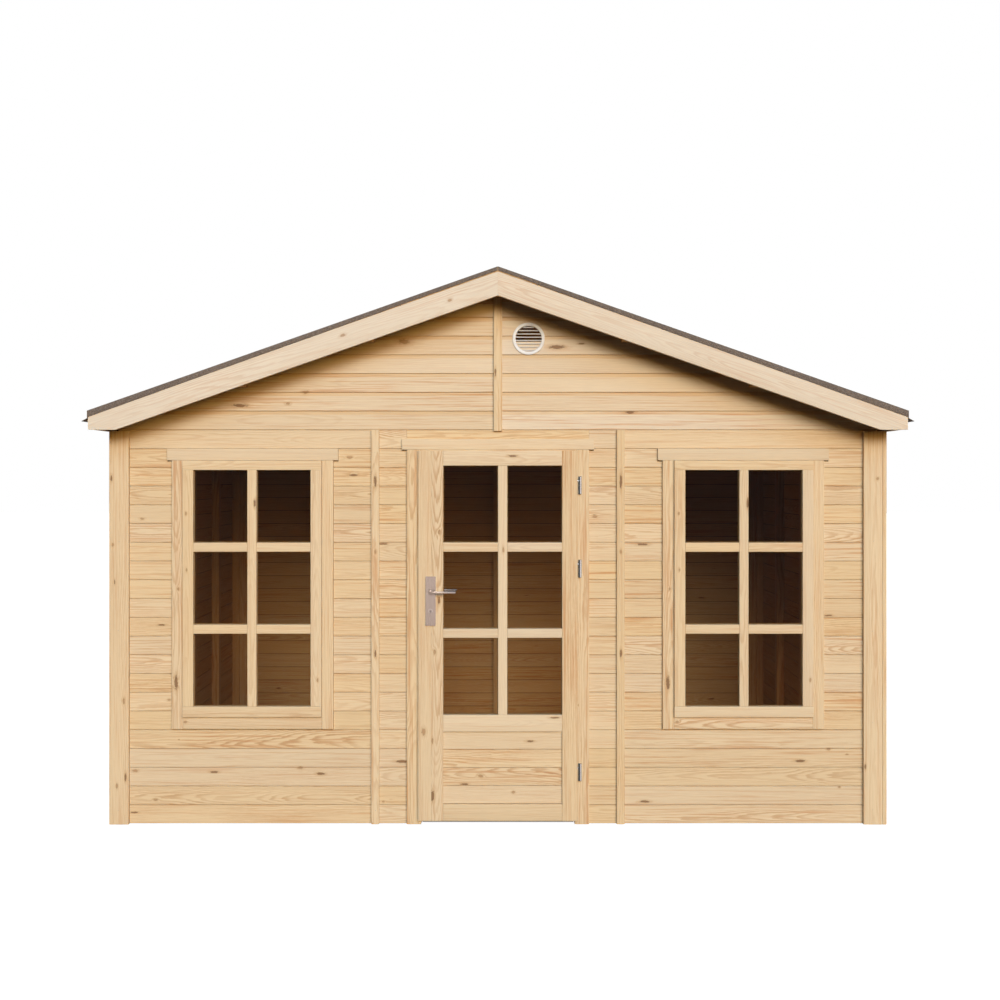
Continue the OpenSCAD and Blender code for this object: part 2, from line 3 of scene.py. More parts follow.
import bpy
import numpy as np
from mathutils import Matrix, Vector


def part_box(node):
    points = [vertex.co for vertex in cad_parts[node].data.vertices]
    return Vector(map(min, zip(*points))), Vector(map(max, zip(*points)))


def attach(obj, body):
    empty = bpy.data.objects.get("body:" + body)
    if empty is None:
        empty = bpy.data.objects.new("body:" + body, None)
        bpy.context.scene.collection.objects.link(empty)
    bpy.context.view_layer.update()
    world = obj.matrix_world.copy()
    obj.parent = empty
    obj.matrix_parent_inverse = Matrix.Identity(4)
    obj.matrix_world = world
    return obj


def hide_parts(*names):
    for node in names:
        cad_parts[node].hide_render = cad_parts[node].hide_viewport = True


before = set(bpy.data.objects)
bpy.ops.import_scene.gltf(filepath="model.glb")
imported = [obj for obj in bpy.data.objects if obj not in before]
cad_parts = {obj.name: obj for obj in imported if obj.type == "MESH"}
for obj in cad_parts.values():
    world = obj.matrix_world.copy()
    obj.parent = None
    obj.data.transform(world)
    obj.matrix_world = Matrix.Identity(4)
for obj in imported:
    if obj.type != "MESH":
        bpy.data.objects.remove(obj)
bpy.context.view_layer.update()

chance = np.random.default_rng(1907)
AXES = {"x": 0, "y": 1, "z": 2}
UNIT = np.eye(3)


# ---- what the frame says ----


def corners(node):
    """A CAD node's different corner points, and its triangles as numbers of those points."""
    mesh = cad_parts[node].data
    places = np.empty(len(mesh.vertices) * 3, np.float32)
    mesh.vertices.foreach_get("co", places)
    points, number = np.unique(places.reshape(-1, 3).round(5), axis=0, return_inverse=True)
    loops = np.empty(len(mesh.loops), np.int32)
    mesh.loops.foreach_get("vertex_index", loops)
    return points, number.reshape(-1)[loops].reshape(-1, 3)


def solids(node):
    """The separate solids of a CAD node, each as its corner points, from left to right.

    Every corner takes the lowest number among the corners it shares a triangle with, until
    nothing changes, so that each solid ends with one number."""
    points, triangles = corners(node)
    label = np.arange(len(points))
    while True:
        lower = label.copy()
        np.minimum.at(lower, triangles, label[triangles].min(axis=1)[:, None])
        if (lower == label).all():
            break
        label = lower
    return [points[label == number] for number in np.unique(label)]


def levels(node, axis):
    """The different places along an axis at which a CAD node has corners, in order."""
    return np.unique(corners(node)[0][:, AXES[axis]].round(4))


def directions(along, out):
    """The numbers of a board's axes along, across and out of it, and its outward sign."""
    lead, face = AXES[along], AXES[out[1]]
    return lead, 3 - lead - face, face, -1.0 if out[0] == "-" else 1.0


# ---- sections ----


def rounded(width, thick, radius, steps=3):
    """A rectangle about the origin whose corners are quarter circles of a few chords."""
    turn = np.linspace(0, math.pi / 2, steps + 1)
    quarters = [turn + k * math.pi / 2 for k in range(4)]
    centres = np.array([[1, 1], [-1, 1], [-1, -1], [1, -1]]) * (
        np.array([width, thick]) / 2 - radius)
    return np.concatenate([
        centre + radius * np.stack([np.cos(q), np.sin(q)], 1)
        for centre, q in zip(centres, quarters)])


def curve(a, corner, b, steps):
    """Points of (1-t)^2 A + 2t(1-t) C + t^2 B for t from 0 to 1; each may be many points."""
    t = np.linspace(0, 1, steps + 1)[:, None]
    return (1 - t) ** 2 * a + 2 * t * (1 - t) * corner + t ** 2 * b


def softened(outline, radius, steps=3):
    """An outline whose corners are cut back by the radius and bridged by a curve from A to B,
    which lie the radius away from the corner on its two edges."""
    before = np.roll(outline, 1, axis=0) - outline
    after = np.roll(outline, -1, axis=0) - outline
    long_before = np.linalg.norm(before, axis=1)
    long_after = np.linalg.norm(after, axis=1)
    reach = np.minimum(radius, 0.45 * np.minimum(long_before, long_after))[:, None]
    a = outline + before / long_before[:, None] * reach
    b = outline + after / long_after[:, None] * reach
    return curve(a[:, None], outline[:, None], b[:, None], steps).reshape(-1, 2)


def in_order(points, middle):
    """Points of a convex section in order round their middle."""
    away = points - middle
    return points[np.argsort(np.arctan2(away[:, 1], away[:, 0]))]


# A board's grooved edge: how far its bevels and the slot between them go in, and how deep.
# A falling board's slope: how wide and deep it is, and the step at its foot.
GROOVE_OUT, GROOVE_IN, GROOVE_SLOT = 0.0020, 0.0013, 0.0008
GROOVE_BACK, GROOVE_DEEP = 0.0058, 0.0065
FALL_WIDE, FALL_DEEP, FALL_STEP = 0.0160, 0.0012, 0.0005
NICK = 0.0004


def grooved(low, high, thick, at_low=True, at_high=True, falling=False):
    """Section of a wall board from its lower to its upper edge, back face at 0.

    A grooved edge has a bevel on each face and, behind the outer bevel, half of the narrow
    slot that stays between two boards. An edge that was cut square has neither. A falling
    board's upper edge also leans back: a flat slope that ends in a small step on the face."""

    def edge(place, way, has_groove):
        if not has_groove:
            return [(place, 0), (place, thick)]
        slot = place + way * GROOVE_SLOT
        back = place + way * GROOVE_IN
        return [(back + way * NICK, 0), (back, NICK), (back, GROOVE_BACK), (place, GROOVE_BACK),
                (place, thick - GROOVE_DEEP), (slot, thick - GROOVE_DEEP),
                (slot, thick - GROOVE_OUT), (slot + way * GROOVE_OUT, thick)]

    top = edge(high, -1, at_high)
    if falling and at_high:
        slot = high - GROOVE_SLOT - NICK
        foot = thick - FALL_DEEP - FALL_STEP
        crest = high - FALL_WIDE
        top = top[:-2] + [(slot, foot - NICK), (slot - NICK, foot),
                          (crest, thick - FALL_STEP), (crest - FALL_STEP, thick)]
    return np.array(edge(low, 1, at_low) + top[::-1])


# ---- gathered bodies ----

# Edges steeper than this stay sharp; turned skins close round an eye this wide.
SHARP = math.radians(35)
EYE = 0.0003


def spokes(axis, steps):
    """An axis as an array, and directions square to it all the way round."""
    lead = np.array(axis, float)
    side = np.cross(lead, UNIT[2] if abs(lead[2]) < 0.5 else UNIT[0])
    up = np.cross(lead, side)
    angle = np.arange(steps) * 2 * math.pi / steps
    return lead, np.cos(angle)[:, None] * side + np.sin(angle)[:, None] * up


def rod(radius, start, end, eye=EYE):
    """The profile of a round bar; its ends close round a tiny eye."""
    return [(eye, start), (radius, start), (radius, end), (eye, end)]


class Skins:
    """Closed skins that are gathered into one piece."""

    def __init__(self):
        self.points, self.faces, self.count = [], [], 0
        self.rows = {}

    def add(self, points, quads, caps, inward):
        """Takes up a skin's points and faces, turned over where they face inward."""
        if inward:
            quads = quads[:, ::-1]
            caps = [cap[::-1] for cap in caps]
        self.points.append(points)
        self.faces += (quads + self.count).tolist() + [(cap + self.count).tolist() for cap in caps]
        self.count += len(points)

    def tube(self, turns, count, closed=False):
        """Quads between rings of equally many points, and the caps of a tube that is open."""
        first = np.arange(turns if closed else turns - 1)[:, None]
        ring, after = first * count, (first + 1) % turns * count
        i = np.arange(count)[None]
        j = (i + 1) % count
        quads = np.stack([ring + i, ring + j, after + j, after + i], 2).reshape(-1, 4)
        caps = [np.arange(count)[::-1], np.arange(count) + (turns - 1) * count]
        return quads, [] if closed else caps

    def rings(self, points, closed=False):
        """Joins rings of equally many points, and turns the normals outward.

        The enclosed volume, a sixth of the sum of a . (b x c) over all triangles, is negative
        where they point inward."""
        quads, caps = self.tube(*points.shape[:2], closed)
        flat = points.reshape(-1, 3)
        a, b, c, d = (flat[quads[:, k]] - flat.mean(axis=0) for k in range(4))
        volume = (a * np.cross(b, c)).sum() + (a * np.cross(c, d)).sum()
        self.add(flat, quads, caps, volume < 0)

    def prism(self, outline, axis, stops, lift=0.0):
        """An outline of the two other coordinates, carried to each stop along an axis."""
        points = np.empty((len(stops), len(outline), 3))
        points[..., [k for k in range(3) if k != AXES[axis]]] = outline
        points[..., AXES[axis]] = np.array(stops)[:, None]
        points[..., 2] += lift
        self.rings(points)

    def turned(self, profile, centre, axis, steps=32):
        """A profile of (radius, distance) points turned about an axis through the centre."""
        lead, around = spokes(axis, steps)
        self.rings(np.array([np.array(centre) + r * around + d * lead for r, d in profile]))

    def hoop(self, section, centre, axis, steps=40):
        """A closed section of (radius, distance) points turned into a ring about an axis."""
        lead, around = spokes(axis, steps)
        section = np.array(section)
        self.rings(np.array(centre) + section[None, :, :1] * around[:, None]
                   + section[None, :, 1:] * lead, closed=True)

    def piece(self, name, material, body, slot, *nodes):
        """The gathered skins as one object that stands for the CAD nodes."""
        mesh = bpy.data.meshes.new(name)
        mesh.from_pydata(np.concatenate(self.points).tolist(), [], self.faces)
        for key, rows in self.rows.items():
            domain = "POINT" if key == "grain" else "FACE"
            attribute = mesh.attributes.new(key, "FLOAT_VECTOR", domain)
            attribute.data.foreach_set("vector", np.concatenate(rows).astype(np.float32).ravel())
        mesh.polygons.foreach_set("use_smooth", np.ones(len(mesh.polygons), bool))
        mesh.set_sharp_from_angle(angle=SHARP)
        mesh.materials.append(material)
        piece = bpy.data.objects.new(name, mesh)
        bpy.context.scene.collection.objects.link(piece)
        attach(piece, body)
        if nodes:
            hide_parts(*nodes)


# ---- boards with a grain ----

# Length between a board's rings; how far along a board a knot counts, and how far outside a
# section it may lie; the radius of random knots; the share of flat-sawn boards.
SEGMENT = 0.34
KNOT_REACH = 0.3
KNOT_SLACK = (0.004, 0.012)
SMALL_KNOT = (0.0012, 0.0038)
FLAT_SAWN = 0.62


class Timber(Skins):
    """Boards that are gathered into one piece.

    Besides its place, each point keeps its grain: where it lies along, across and through its
    own board, from the board's middle. Each face keeps the board's pith and tone, its look
    and the two knots nearest to it."""

    def __init__(self, stray=0.5, knots=(), pale=(0.0, 0.3), vivid=(0.1, 0.8), warm=(0.1, 1.0)):
        """Stray is how many random knots a metre of board has; knots are (x, y, z, radius)."""
        super().__init__()
        self.stray = stray
        self.marked = np.array(knots, float).reshape(-1, 4)
        self.ranges = [pale, vivid, warm]

    def local_knots(self, origin, axes, start, end, middle, half):
        """Knots of one board as (along, across, radius): marked ones inside it and stray ones."""
        found = []
        if len(self.marked):
            away = (self.marked[:, :3] - origin) @ axes.T
            inside = ((away[:, 0] > start) & (away[:, 0] < end)
                      & (np.abs(away[:, 1:] - middle) < half + KNOT_SLACK).all(axis=1))
            found = np.column_stack([away[inside, :2], self.marked[inside, 3]]).tolist()
        for _ in range(chance.poisson(self.stray * (end - start))):
            small = chance.uniform(*SMALL_KNOT) * chance.choice([-1, 1, 1])
            across = middle[0] + chance.uniform(-0.6, 0.6) * half[0]
            found.append([chance.uniform(start, end), across, small])
        return np.array(found).reshape(-1, 3)

    def nearest(self, knots, centre, offset):
        """The two knots nearest to each face, moved by the offset, or 0 where none is near."""
        near = np.zeros((2, len(centre), 3))
        if len(knots):
            apart = np.abs(knots[None, :, 0] - centre[:, None])
            order = np.argsort(apart, axis=1)
            for place in range(min(2, len(knots))):
                pick = order[:, place]
                close = apart[np.arange(len(centre)), pick] < KNOT_REACH
                near[place] = np.where(close[:, None], knots[pick] + offset, 0)
        return near

    def nature(self, quarter, look):
        """A board's pith, tone and look. The pith of a flat-sawn board lies behind its face
        and that of a quarter-sawn one beside it, so the rings show as arches or as lines."""
        flat = chance.uniform() < FLAT_SAWN if quarter is None else not quarter
        reach = chance.uniform(0.03, 0.09) if flat else chance.uniform(0.08, 0.16)
        lean = chance.normal(0, 0.35) if flat else chance.uniform(0.9, 1.4) * chance.choice([-1, 1])
        pith = [reach * math.sin(lean), -reach * math.cos(lean)]
        tone = chance.uniform(0, 1)
        return pith, tone, look or [chance.uniform(*span) for span in self.ranges]

    def board(self, outline, origin, along, across, out, start, end, chamfer=0.0,
              quarter=None, look=None, like=None):
        """A section of (across, out) points carried from its start cut to its end cut.

        Ring k lies a share f of the way between the cuts: s = start + f (end - start), where
        start and end may differ from point to point, as at a slanted cut. With a chamfer, the
        first and last ring are drawn in by it. Look is how pale, vivid and warm the wood is.
        Like is what an earlier piece of the same board returned: the grain then runs on."""
        axes = np.array([along, across, out], float)
        origin = np.array(origin, float)
        outline = np.array(outline, float)
        count = len(outline)
        start = np.broadcast_to(np.asarray(start, float), count)
        end = np.broadcast_to(np.asarray(end, float), count)
        low, high = outline.min(axis=0), outline.max(axis=0)
        middle, size = (low + high) / 2, (high - low) / 2
        parts = max(1, math.ceil((end.max() - start.min() - 2 * chamfer) / SEGMENT))
        share = np.linspace(0, 1, parts + 1)[:, None]
        rings = (start + chamfer) + share * (end - start - 2 * chamfer)
        sections = np.repeat(outline[None], parts + 1, axis=0)
        if chamfer:
            drawn = middle + (outline - middle) * (1 - chamfer / size)
            rings = np.vstack([start[None], rings, end[None]])
            sections = np.concatenate([drawn[None], sections, drawn[None]])
        own = np.concatenate([rings[:, :, None], sections], axis=2)
        area = np.cross(outline, np.roll(outline, -1, axis=0)).sum()
        inward = area * np.dot(np.cross(axes[1], axes[2]), axes[0]) < 0
        self.add(own.reshape(-1, 3) @ axes + origin, *self.tube(len(rings), count), inward)
        shift = chance.uniform(0, 40)
        knots = self.local_knots(origin, axes, start.min(), end.max(), middle, size)
        pith, tone, look = self.nature(quarter, look)
        if like:
            shift, middle, pith, tone, look = like
        mid = rings.mean(axis=1)
        centre = np.concatenate([np.repeat((mid[1:] + mid[:-1]) / 2, count), mid[[0, -1]]])
        near = self.nearest(knots, centre, [shift, -middle[0], 0])
        traits = {"grain": (own + [shift, -middle[0], -middle[1]]).reshape(-1, 3),
                  "board": np.repeat([[*pith, tone]], len(centre), axis=0),
                  "look": np.repeat([look], len(centre), axis=0),
                  "knot_a": near[0], "knot_b": near[1]}
        for key, rows in traits.items():
            self.rows.setdefault(key, []).append(rows)
        return shift, middle, pith, tone, look

    def bar(self, x0, x1, depth, z0, z1, radius=0.002, chamfer=0.001, **more):
        """A board with rounded edges along the longer side of a box, its face to the front.
        Depth is where its face and its back lie."""
        low, high = np.array([x0, depth[0], z0], float), np.array([x1, depth[1], z1], float)
        size = high - low
        lead, side, face, sign = directions("x" if size[0] > size[2] else "z", "-y")
        outline = rounded(size[side], size[face], min(radius, 0.4 * size[side], 0.4 * size[face]))
        self.board(outline, (low + high) / 2, UNIT[lead], UNIT[side], sign * UNIT[face],
                   -size[lead] / 2, size[lead] / 2, chamfer=chamfer, **more)

    def run(self, points, along, out, radius=0.002, chamfer=0.001):
        """A board that fills a CAD solid which has one convex section along an axis."""
        lead, side, face, sign = directions(along, out)
        flat = np.unique((points[:, [side, face]] * [1, sign]).round(5), axis=0)
        outline = softened(in_order(flat, flat.mean(axis=0)), radius)
        self.board(outline, [0, 0, 0], UNIT[lead], UNIT[side], sign * UNIT[face],
                   points[:, lead].min(), points[:, lead].max(), chamfer=chamfer)


# ---- shader sums ----


class Value:
    """A socket in a finish, so that sums on it are written as plain expressions."""

    def __init__(self, finish, socket):
        self.finish = finish
        self.socket = socket


def math_node(operation, swapped=False, *fixed):
    """A method of Value that puts the value and the method's arguments into a math node."""

    def method(self, *others):
        terms = (self, *others, *fixed)
        inputs = dict(enumerate(terms[::-1] if swapped else terms))
        return self.finish.node("ShaderNodeMath", inputs, operation=operation)

    return method


for key, operation in (("__add__", "ADD"), ("__radd__", "ADD"), ("__sub__", "SUBTRACT"),
                       ("__mul__", "MULTIPLY"), ("__rmul__", "MULTIPLY"),
                       ("__truediv__", "DIVIDE"), ("__pow__", "POWER"), ("__abs__", "ABSOLUTE"),
                       ("root", "SQRT"), ("exp", "EXPONENT"), ("fraction", "FRACT"),
                       ("most", "MAXIMUM"), ("below", "LESS_THAN")):
    setattr(Value, key, math_node(operation))
Value.__rsub__ = math_node("SUBTRACT", True)
Value.__neg__ = math_node("MULTIPLY", False, -1.0)


def rgba(colour):
    return colour if isinstance(colour, Value) else (*colour, 1.0)


class Finish:
    """The node tree of a material or a world, ending in one shader."""

    def __init__(self, name, kind="materials"):
        self.block = getattr(bpy.data, kind).new(name)
        self.block.use_nodes = True
        self.tree = self.block.node_tree
        self.tree.nodes.clear()

    def node(self, kind, inputs=None, out=0, **settings):
        """Adds a node: its settings first, then the values or links of its sockets."""
        made = self.tree.nodes.new(kind)
        for key, value in settings.items():
            setattr(made, key, value)
        for key, value in (inputs or {}).items():
            if isinstance(value, Value):
                self.tree.links.new(value.socket, made.inputs[key])
            else:
                made.inputs[key].default_value = value
        return Value(self, made.outputs[out]) if len(made.outputs) else None

    def place(self):
        return self.node("ShaderNodeTexCoord", out="Object")

    def outputs(self, value, *names):
        """Other outputs of the node that a value comes from: the named ones, or all."""
        sockets = value.socket.node.outputs
        return [Value(self, sockets[name]) for name in names or range(len(sockets))]

    def split(self, vector):
        return self.outputs(self.node("ShaderNodeSeparateXYZ", {0: vector}))

    def attribute(self, name):
        return self.split(self.node("ShaderNodeAttribute", out="Vector", attribute_name=name))

    def join(self, x, y, z):
        return self.node("ShaderNodeCombineXYZ", {0: x, 1: y, 2: z})

    def noise(self, vector, scale=1.0, detail=2.0, rough=0.5, out=0):
        return self.node("ShaderNodeTexNoise", {
            "Vector": vector, "Scale": scale, "Detail": detail, "Roughness": rough}, out)

    def step(self, value, low, high, to_low=0.0, to_high=1.0):
        """Runs smoothly from to_low to to_high while the value goes from low to high."""
        return self.node("ShaderNodeMapRange", {
            "Value": value, "From Min": low, "From Max": high,
            "To Min": to_low, "To Max": to_high}, interpolation_type="SMOOTHSTEP")

    def mix(self, share, first, second, blend="MIX"):
        return self.node("ShaderNodeMix", {0: share, 6: rgba(first), 7: rgba(second)}, 2,
                         data_type="RGBA", blend_type=blend)

    def bump(self, height, distance, strength=0.5):
        return self.node("ShaderNodeBump", {
            "Height": height, "Distance": distance, "Strength": strength}, "Normal")

    def seen(self):
        """1 for rays from the camera, in reflections and through glass, 0 for bounced light."""
        camera, glossy, through = self.outputs(
            self.node("ShaderNodeLightPath"),
            "Is Camera Ray", "Is Glossy Ray", "Is Transmission Ray")
        return camera.most(glossy).most(through)

    def surface(self, **sockets):
        """Ends the tree in the main shader; a double underline stands for a space."""
        shader = self.node("ShaderNodeBsdfPrincipled", {
            key.replace("__", " "): value for key, value in sockets.items()})
        self.node("ShaderNodeOutputMaterial", {"Surface": shader})
        return self.block


# ---- finishes ----

# Colours of the wood, each for the most vivid and the palest board.
EARLY_WOOD = ((0.822, 0.578, 0.320), (0.860, 0.700, 0.525))
LATE_WOOD = ((0.530, 0.240, 0.085), (0.670, 0.400, 0.220))
STREAKS = ((0.630, 0.290, 0.110), (0.750, 0.450, 0.265))
LIVE_KNOT, DEAD_KNOT, KNOT_HALO = (0.42, 0.200, 0.080), (0.11, 0.055, 0.027), (0.55, 0.29, 0.12)
# Painted shade: a darker, warmer tone for the hidden faces of the wall boards, which face the dim
# room; near black for the slots in their backs; a darker, warmer tone on the slope along a gable
# board's upper edge.
BACK_SHADE, SLOT_SHADE, SLOPE_SHADE = (0.78, 0.62, 0.41), (0.05, 0.025, 0.01), (0.95, 0.86, 0.74)


def pine(name, tint=None, backs=False, falling=False):
    """Planed softwood. Yearly rings are cylinders about the board's pith, which wanders, so
    that a face shows arches or straight lines; knots push the rings aside. With backs, the
    hidden face of a wall board is rougher than its planed face, and painted shade makes it
    darker and warmer, for the dim room behind the panes; the slots in its back are painted
    near black as shade. Falling paints a darker, warmer shade on the slope along a gable
    board's upper edge, which lies just behind the face."""
    f = Finish(name)
    u, v, w = f.attribute("grain")
    pith_v, pith_w, tone = f.attribute("board")
    pale, vivid, warm = f.attribute("look")
    drift_v, drift_w, drift_s = f.split(
        f.noise(f.join(u * 1.1, v * 5, w * 5), detail=2, out="Color"))
    sideways = abs(pith_v) / (abs(pith_v) + abs(pith_w))
    radius = ((v - pith_v + (drift_v - 0.5) * 0.04) ** 2
              + (w - pith_w + (drift_w - 0.5) * 0.05) ** 2).root()
    radius = radius + u * (tone - 0.5) * (1.0 - sideways) * (vivid * vivid * 0.12 + 0.03)
    marks = []
    ragged = f.noise(f.join(u * 70, v * 150, w * 150), detail=3, rough=0.7)
    for key in ("knot_a", "knot_b"):
        knot_u, knot_v, knot_r = f.attribute(key)
        size = abs(knot_r).most(0.00001)
        dead = knot_r.below(0.0)
        stretch = ((knot_u * 37.7).fraction() * 1.6 + 1.1) * (dead + 1.0)
        du, dv = u - knot_u, v - knot_v
        pushed = (-((du / (size * 3.2)) ** 2 + (dv / (size * 1.7)) ** 2)).exp()
        radius = radius + pushed * size * 0.8
        far = ((du / (size * stretch)) ** 2 + (dv / size) ** 2).root() + (ragged - 0.5) * 1.7
        marks.append((far, dead))
    fine = f.noise(f.join(u * 11, v * 130, w * 130), detail=3, rough=0.6)
    ring_width = sideways * 0.0042 + 0.0030
    year = (radius / ring_width + (fine - 0.5) * 1.1 + drift_s * 3).fraction()
    rings = f.step(year, 0.35, 0.8) * f.step(year, 0.88, 1.0, 1.0, 0.0)
    patch = f.step(f.noise(f.join(u * 1.5, v * 15, w * 15), detail=2), 0.36, 0.66)
    streak = f.step(f.noise(f.join(u * 2.0, v * 110, w * 110), detail=4, rough=0.65), 0.48, 0.68)
    colour = f.mix(rings * (patch * 0.6 + 0.3) * (vivid * 0.8 + 0.17),
                   f.mix(pale, *EARLY_WOOD), f.mix(pale, *LATE_WOOD))
    colour = f.mix(streak * (warm * 0.8 + 0.15) * (fine * 0.8 + 0.6), colour,
                   f.mix(pale, *STREAKS))
    fibre = f.noise(f.join(u * 14, v * 560, w * 560), detail=2)
    shade = f.node("ShaderNodeHueSaturation", {
        "Hue": 0.5, "Saturation": 0.97 + tone * 0.06,
        "Value": (0.945 + tone * 0.05 + vivid * 0.04 + (fibre - 0.5) * 0.2 + (drift_s - 0.5) * 0.1),
        "Color": colour})
    if tint:
        shade = f.mix(1.0, shade, tint, "MULTIPLY")
    rough = 0.64 - rings * 0.1
    for far, dead in marks:
        inside = f.step(far, 1.15, 0.7)
        halo = f.step(far, 2.4, 0.9) * (dead * 0.15 + 0.28)
        rim = (-(((far - 0.9) / 0.25) ** 2)).exp()
        core = f.mix(dead * 0.6 + rim * 0.3, LIVE_KNOT, DEAD_KNOT)
        shade = f.mix(halo, shade, KNOT_HALO)
        shade = f.mix(inside * (dead * 0.2 + 0.62), shade, core)
        rough = rough - inside * 0.12
    if backs:
        hidden = f.step(w, 0.0, -0.003)
        # where the slots in the back lie, which are painted near black as shade
        dust_and_shade = f.step(w, -0.0092, -0.0075) * hidden
        sawn = f.noise(f.join(u * 260, v * 30, w * 30), detail=1)
        # painted shade: the hidden face is painted darker and warmer, as the room behind the panes
        # is dim
        shade = f.mix(hidden * (0.9 + sawn * 0.2), shade, BACK_SHADE, "MULTIPLY")
        # painted shade: the slots in the back are painted near black
        shade = f.mix(dust_and_shade * 0.8, shade, SLOT_SHADE)
        rough = rough + hidden * 0.2
    if falling:
        # painted shade: the slope along the upper edge is painted darker and warmer
        shade = f.mix(f.step(w, 0.0094, 0.0089), shade, SLOPE_SHADE, "MULTIPLY")
    return f.surface(Base__Color=shade, Roughness=rough, Specular__IOR__Level=0.1,
                     Normal=f.bump(fibre * 0.6 + fine * 0.2, 0.0003))


def mineral_felt(name):
    """Bitumen felt with crushed slate: pale and dark grains a millimetre or so across."""
    f = Finish(name)
    place = f.place()
    grit = f.node("ShaderNodeTexVoronoi", {"Vector": place, "Scale": 620.0}, "Color")
    patch = f.noise(place, 2.6, 3)
    colour = f.mix(f.step(f.split(grit)[0], 0.3, 1.0), (0.120, 0.082, 0.059),
                   (0.330, 0.247, 0.186))
    colour = f.mix(f.step(patch, 0.35, 0.7) * 0.3, colour, (0.130, 0.096, 0.074))
    return f.surface(Base__Color=colour, Roughness=0.92,
                     Normal=f.bump(f.outputs(grit, "Distance")[0], 0.0009, 0.8))


def window_glass(name):
    """Clear float glass: its alpha lets most light through, and a faint smeared gloss stays."""
    f = Finish(name)
    smear = f.noise(f.place(), 5.0, 3)
    return f.surface(Base__Color=(0.01, 0.01, 0.01, 1), IOR=1.5, Specular__IOR__Level=0.08,
                     Roughness=0.02 + f.step(smear, 0.45, 0.8) * 0.06,
                     Alpha=0.17 + f.step(smear, 0.5, 0.8) * 0.02)


def speckled(name, scale, detail, first, second, rough, uneven=0.0, **more):
    """A surface whose colour and roughness wander a little with a fine noise."""
    f = Finish(name)
    spots = f.noise(f.place(), scale, detail)
    return f.surface(Base__Color=f.mix(spots, first, second),
                     Roughness=rough + (spots - 0.5) * uneven, **more)


def satin_steel(name):
    """Brushed nickel-coloured steel with fine lines up and down."""
    f = Finish(name)
    place = f.place()
    x, y, z = f.split(place)
    brushed = f.noise(f.join(x * 900, y * 900, z * 20), detail=2)
    dull = f.noise(place, 9.0, 2)
    return f.surface(Base__Color=f.mix(brushed, (0.226, 0.160, 0.128), (0.315, 0.227, 0.182)),
                     Roughness=0.30 + (brushed - 0.5) * 0.12 + (dull - 0.5) * 0.1, Metallic=1.0,
                     Normal=f.bump(brushed, 0.00005))


def light_steel(name):
    """Smoother steel for the moving parts, with fine turning marks."""
    f = Finish(name)
    x, y, z = f.split(f.place())
    turned = f.noise(f.join(x * 60, y * 60, z * 1400), detail=2)
    return f.surface(Base__Color=f.mix(turned, (0.25, 0.175, 0.135), (0.33, 0.24, 0.19)),
                     Metallic=1.0, Roughness=0.28 + (turned - 0.5) * 0.1)


def vent_plastic(name):
    """White moulded plastic with a faint grain and dust."""
    f = Finish(name)
    place = f.place()
    dust_and_shade = f.noise(place, 24.0, 3)
    return f.surface(Base__Color=f.mix(f.step(dust_and_shade, 0.4, 0.8) * 0.5, (0.86, 0.79, 0.73),
                                       (0.70, 0.62, 0.56)),
                     Roughness=0.42 + (dust_and_shade - 0.5) * 0.1,
                     Normal=f.bump(f.noise(place, 1500.0, 1), 0.00005))


WOOD = pine("spruce_finish")
BOARDS = pine("boarding_finish", backs=True)
GABLE_BOARDS = pine("gable_finish", backs=True, falling=True)
ROUGH_WOOD = pine("framing_finish", (0.80, 0.66, 0.48))
FLOOR_WOOD = pine("floor_finish", (0.62, 0.54, 0.42))
FELT = mineral_felt("roof_felt_finish")
GLASS = window_glass("glass_finish")
STEEL = satin_steel("satin_steel_finish")
LIGHT_STEEL = light_steel("lever_steel_finish")
PLASTIC = vent_plastic("vent_plastic_finish")
# the lock cylinder and the hinges: plated brass, brighter and smoother than the plates
NICKEL = speckled("cylinder_finish", 300.0, 2, (0.44, 0.38, 0.345), (0.55, 0.49, 0.45),
                  0.24, 0.12, Metallic=1.0)
# painted shadow: near black for the inside of a keyway, where a hole stands in shade, and for
# strips beside the hinge barrels, which stand for the dark gap there
SHADOW = speckled("painted_shadow_finish", 900.0, 1, (0.01, 0.009, 0.008), (0.03, 0.027, 0.022), 0.5)
# the seal under the door leaf: dark as rubber is, and its near-black brown is also painted shadow
# for the gap at the leaf's foot
SEAL_SHADE = speckled("seal_shadow_finish", 60.0, 3, (0.05, 0.03, 0.018), (0.12, 0.08, 0.05), 0.8)
# nail and screw heads, dulled by zinc
ZINC = speckled("nail_finish", 700.0, 1, (0.33, 0.30, 0.27), (0.5, 0.47, 0.44), 0.45,
                Metallic=0.8)


# ---- the sizes that several pieces share ----

wall_low, wall_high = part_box("left_wall")
back_low, back_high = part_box("back_wall")
wall_h = wall_high.z
half_w = -wall_low.x
half_d = wall_high.y
board_t = wall_high.x - wall_low.x
pitch = wall_h / 21
strip_x = max(s[:, 0].mean() for s in solids("cover_strips_front"))
slope_low, slope_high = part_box("roof_boards_right")
roof_points = corners("roof_boards_right")[0]
ridge_under = roof_points[roof_points[:, 0] < 0.001][:, 2].min()
eave_under = roof_points[roof_points[:, 0] > slope_high.x - 0.001][:, 2].min()
slope_tan = (ridge_under - eave_under) / slope_high.x
slope_angle = math.atan(slope_tan)
slope_cos, slope_sin = math.cos(slope_angle), math.sin(slope_angle)
# Distances that count as none, that no board is narrower than, and that stay between parts;
# and about how far apart the boards of the floor and the roof lie.
HAIR = 1e-5
SLIVER = 0.002
PLAY = 0.0003
SMALL_PLAY = 0.0002
JOINT_GAP = 0.0006
FLOOR_PITCH = 0.095
ROOF_PITCH = 0.092


# ---- boarded walls ----


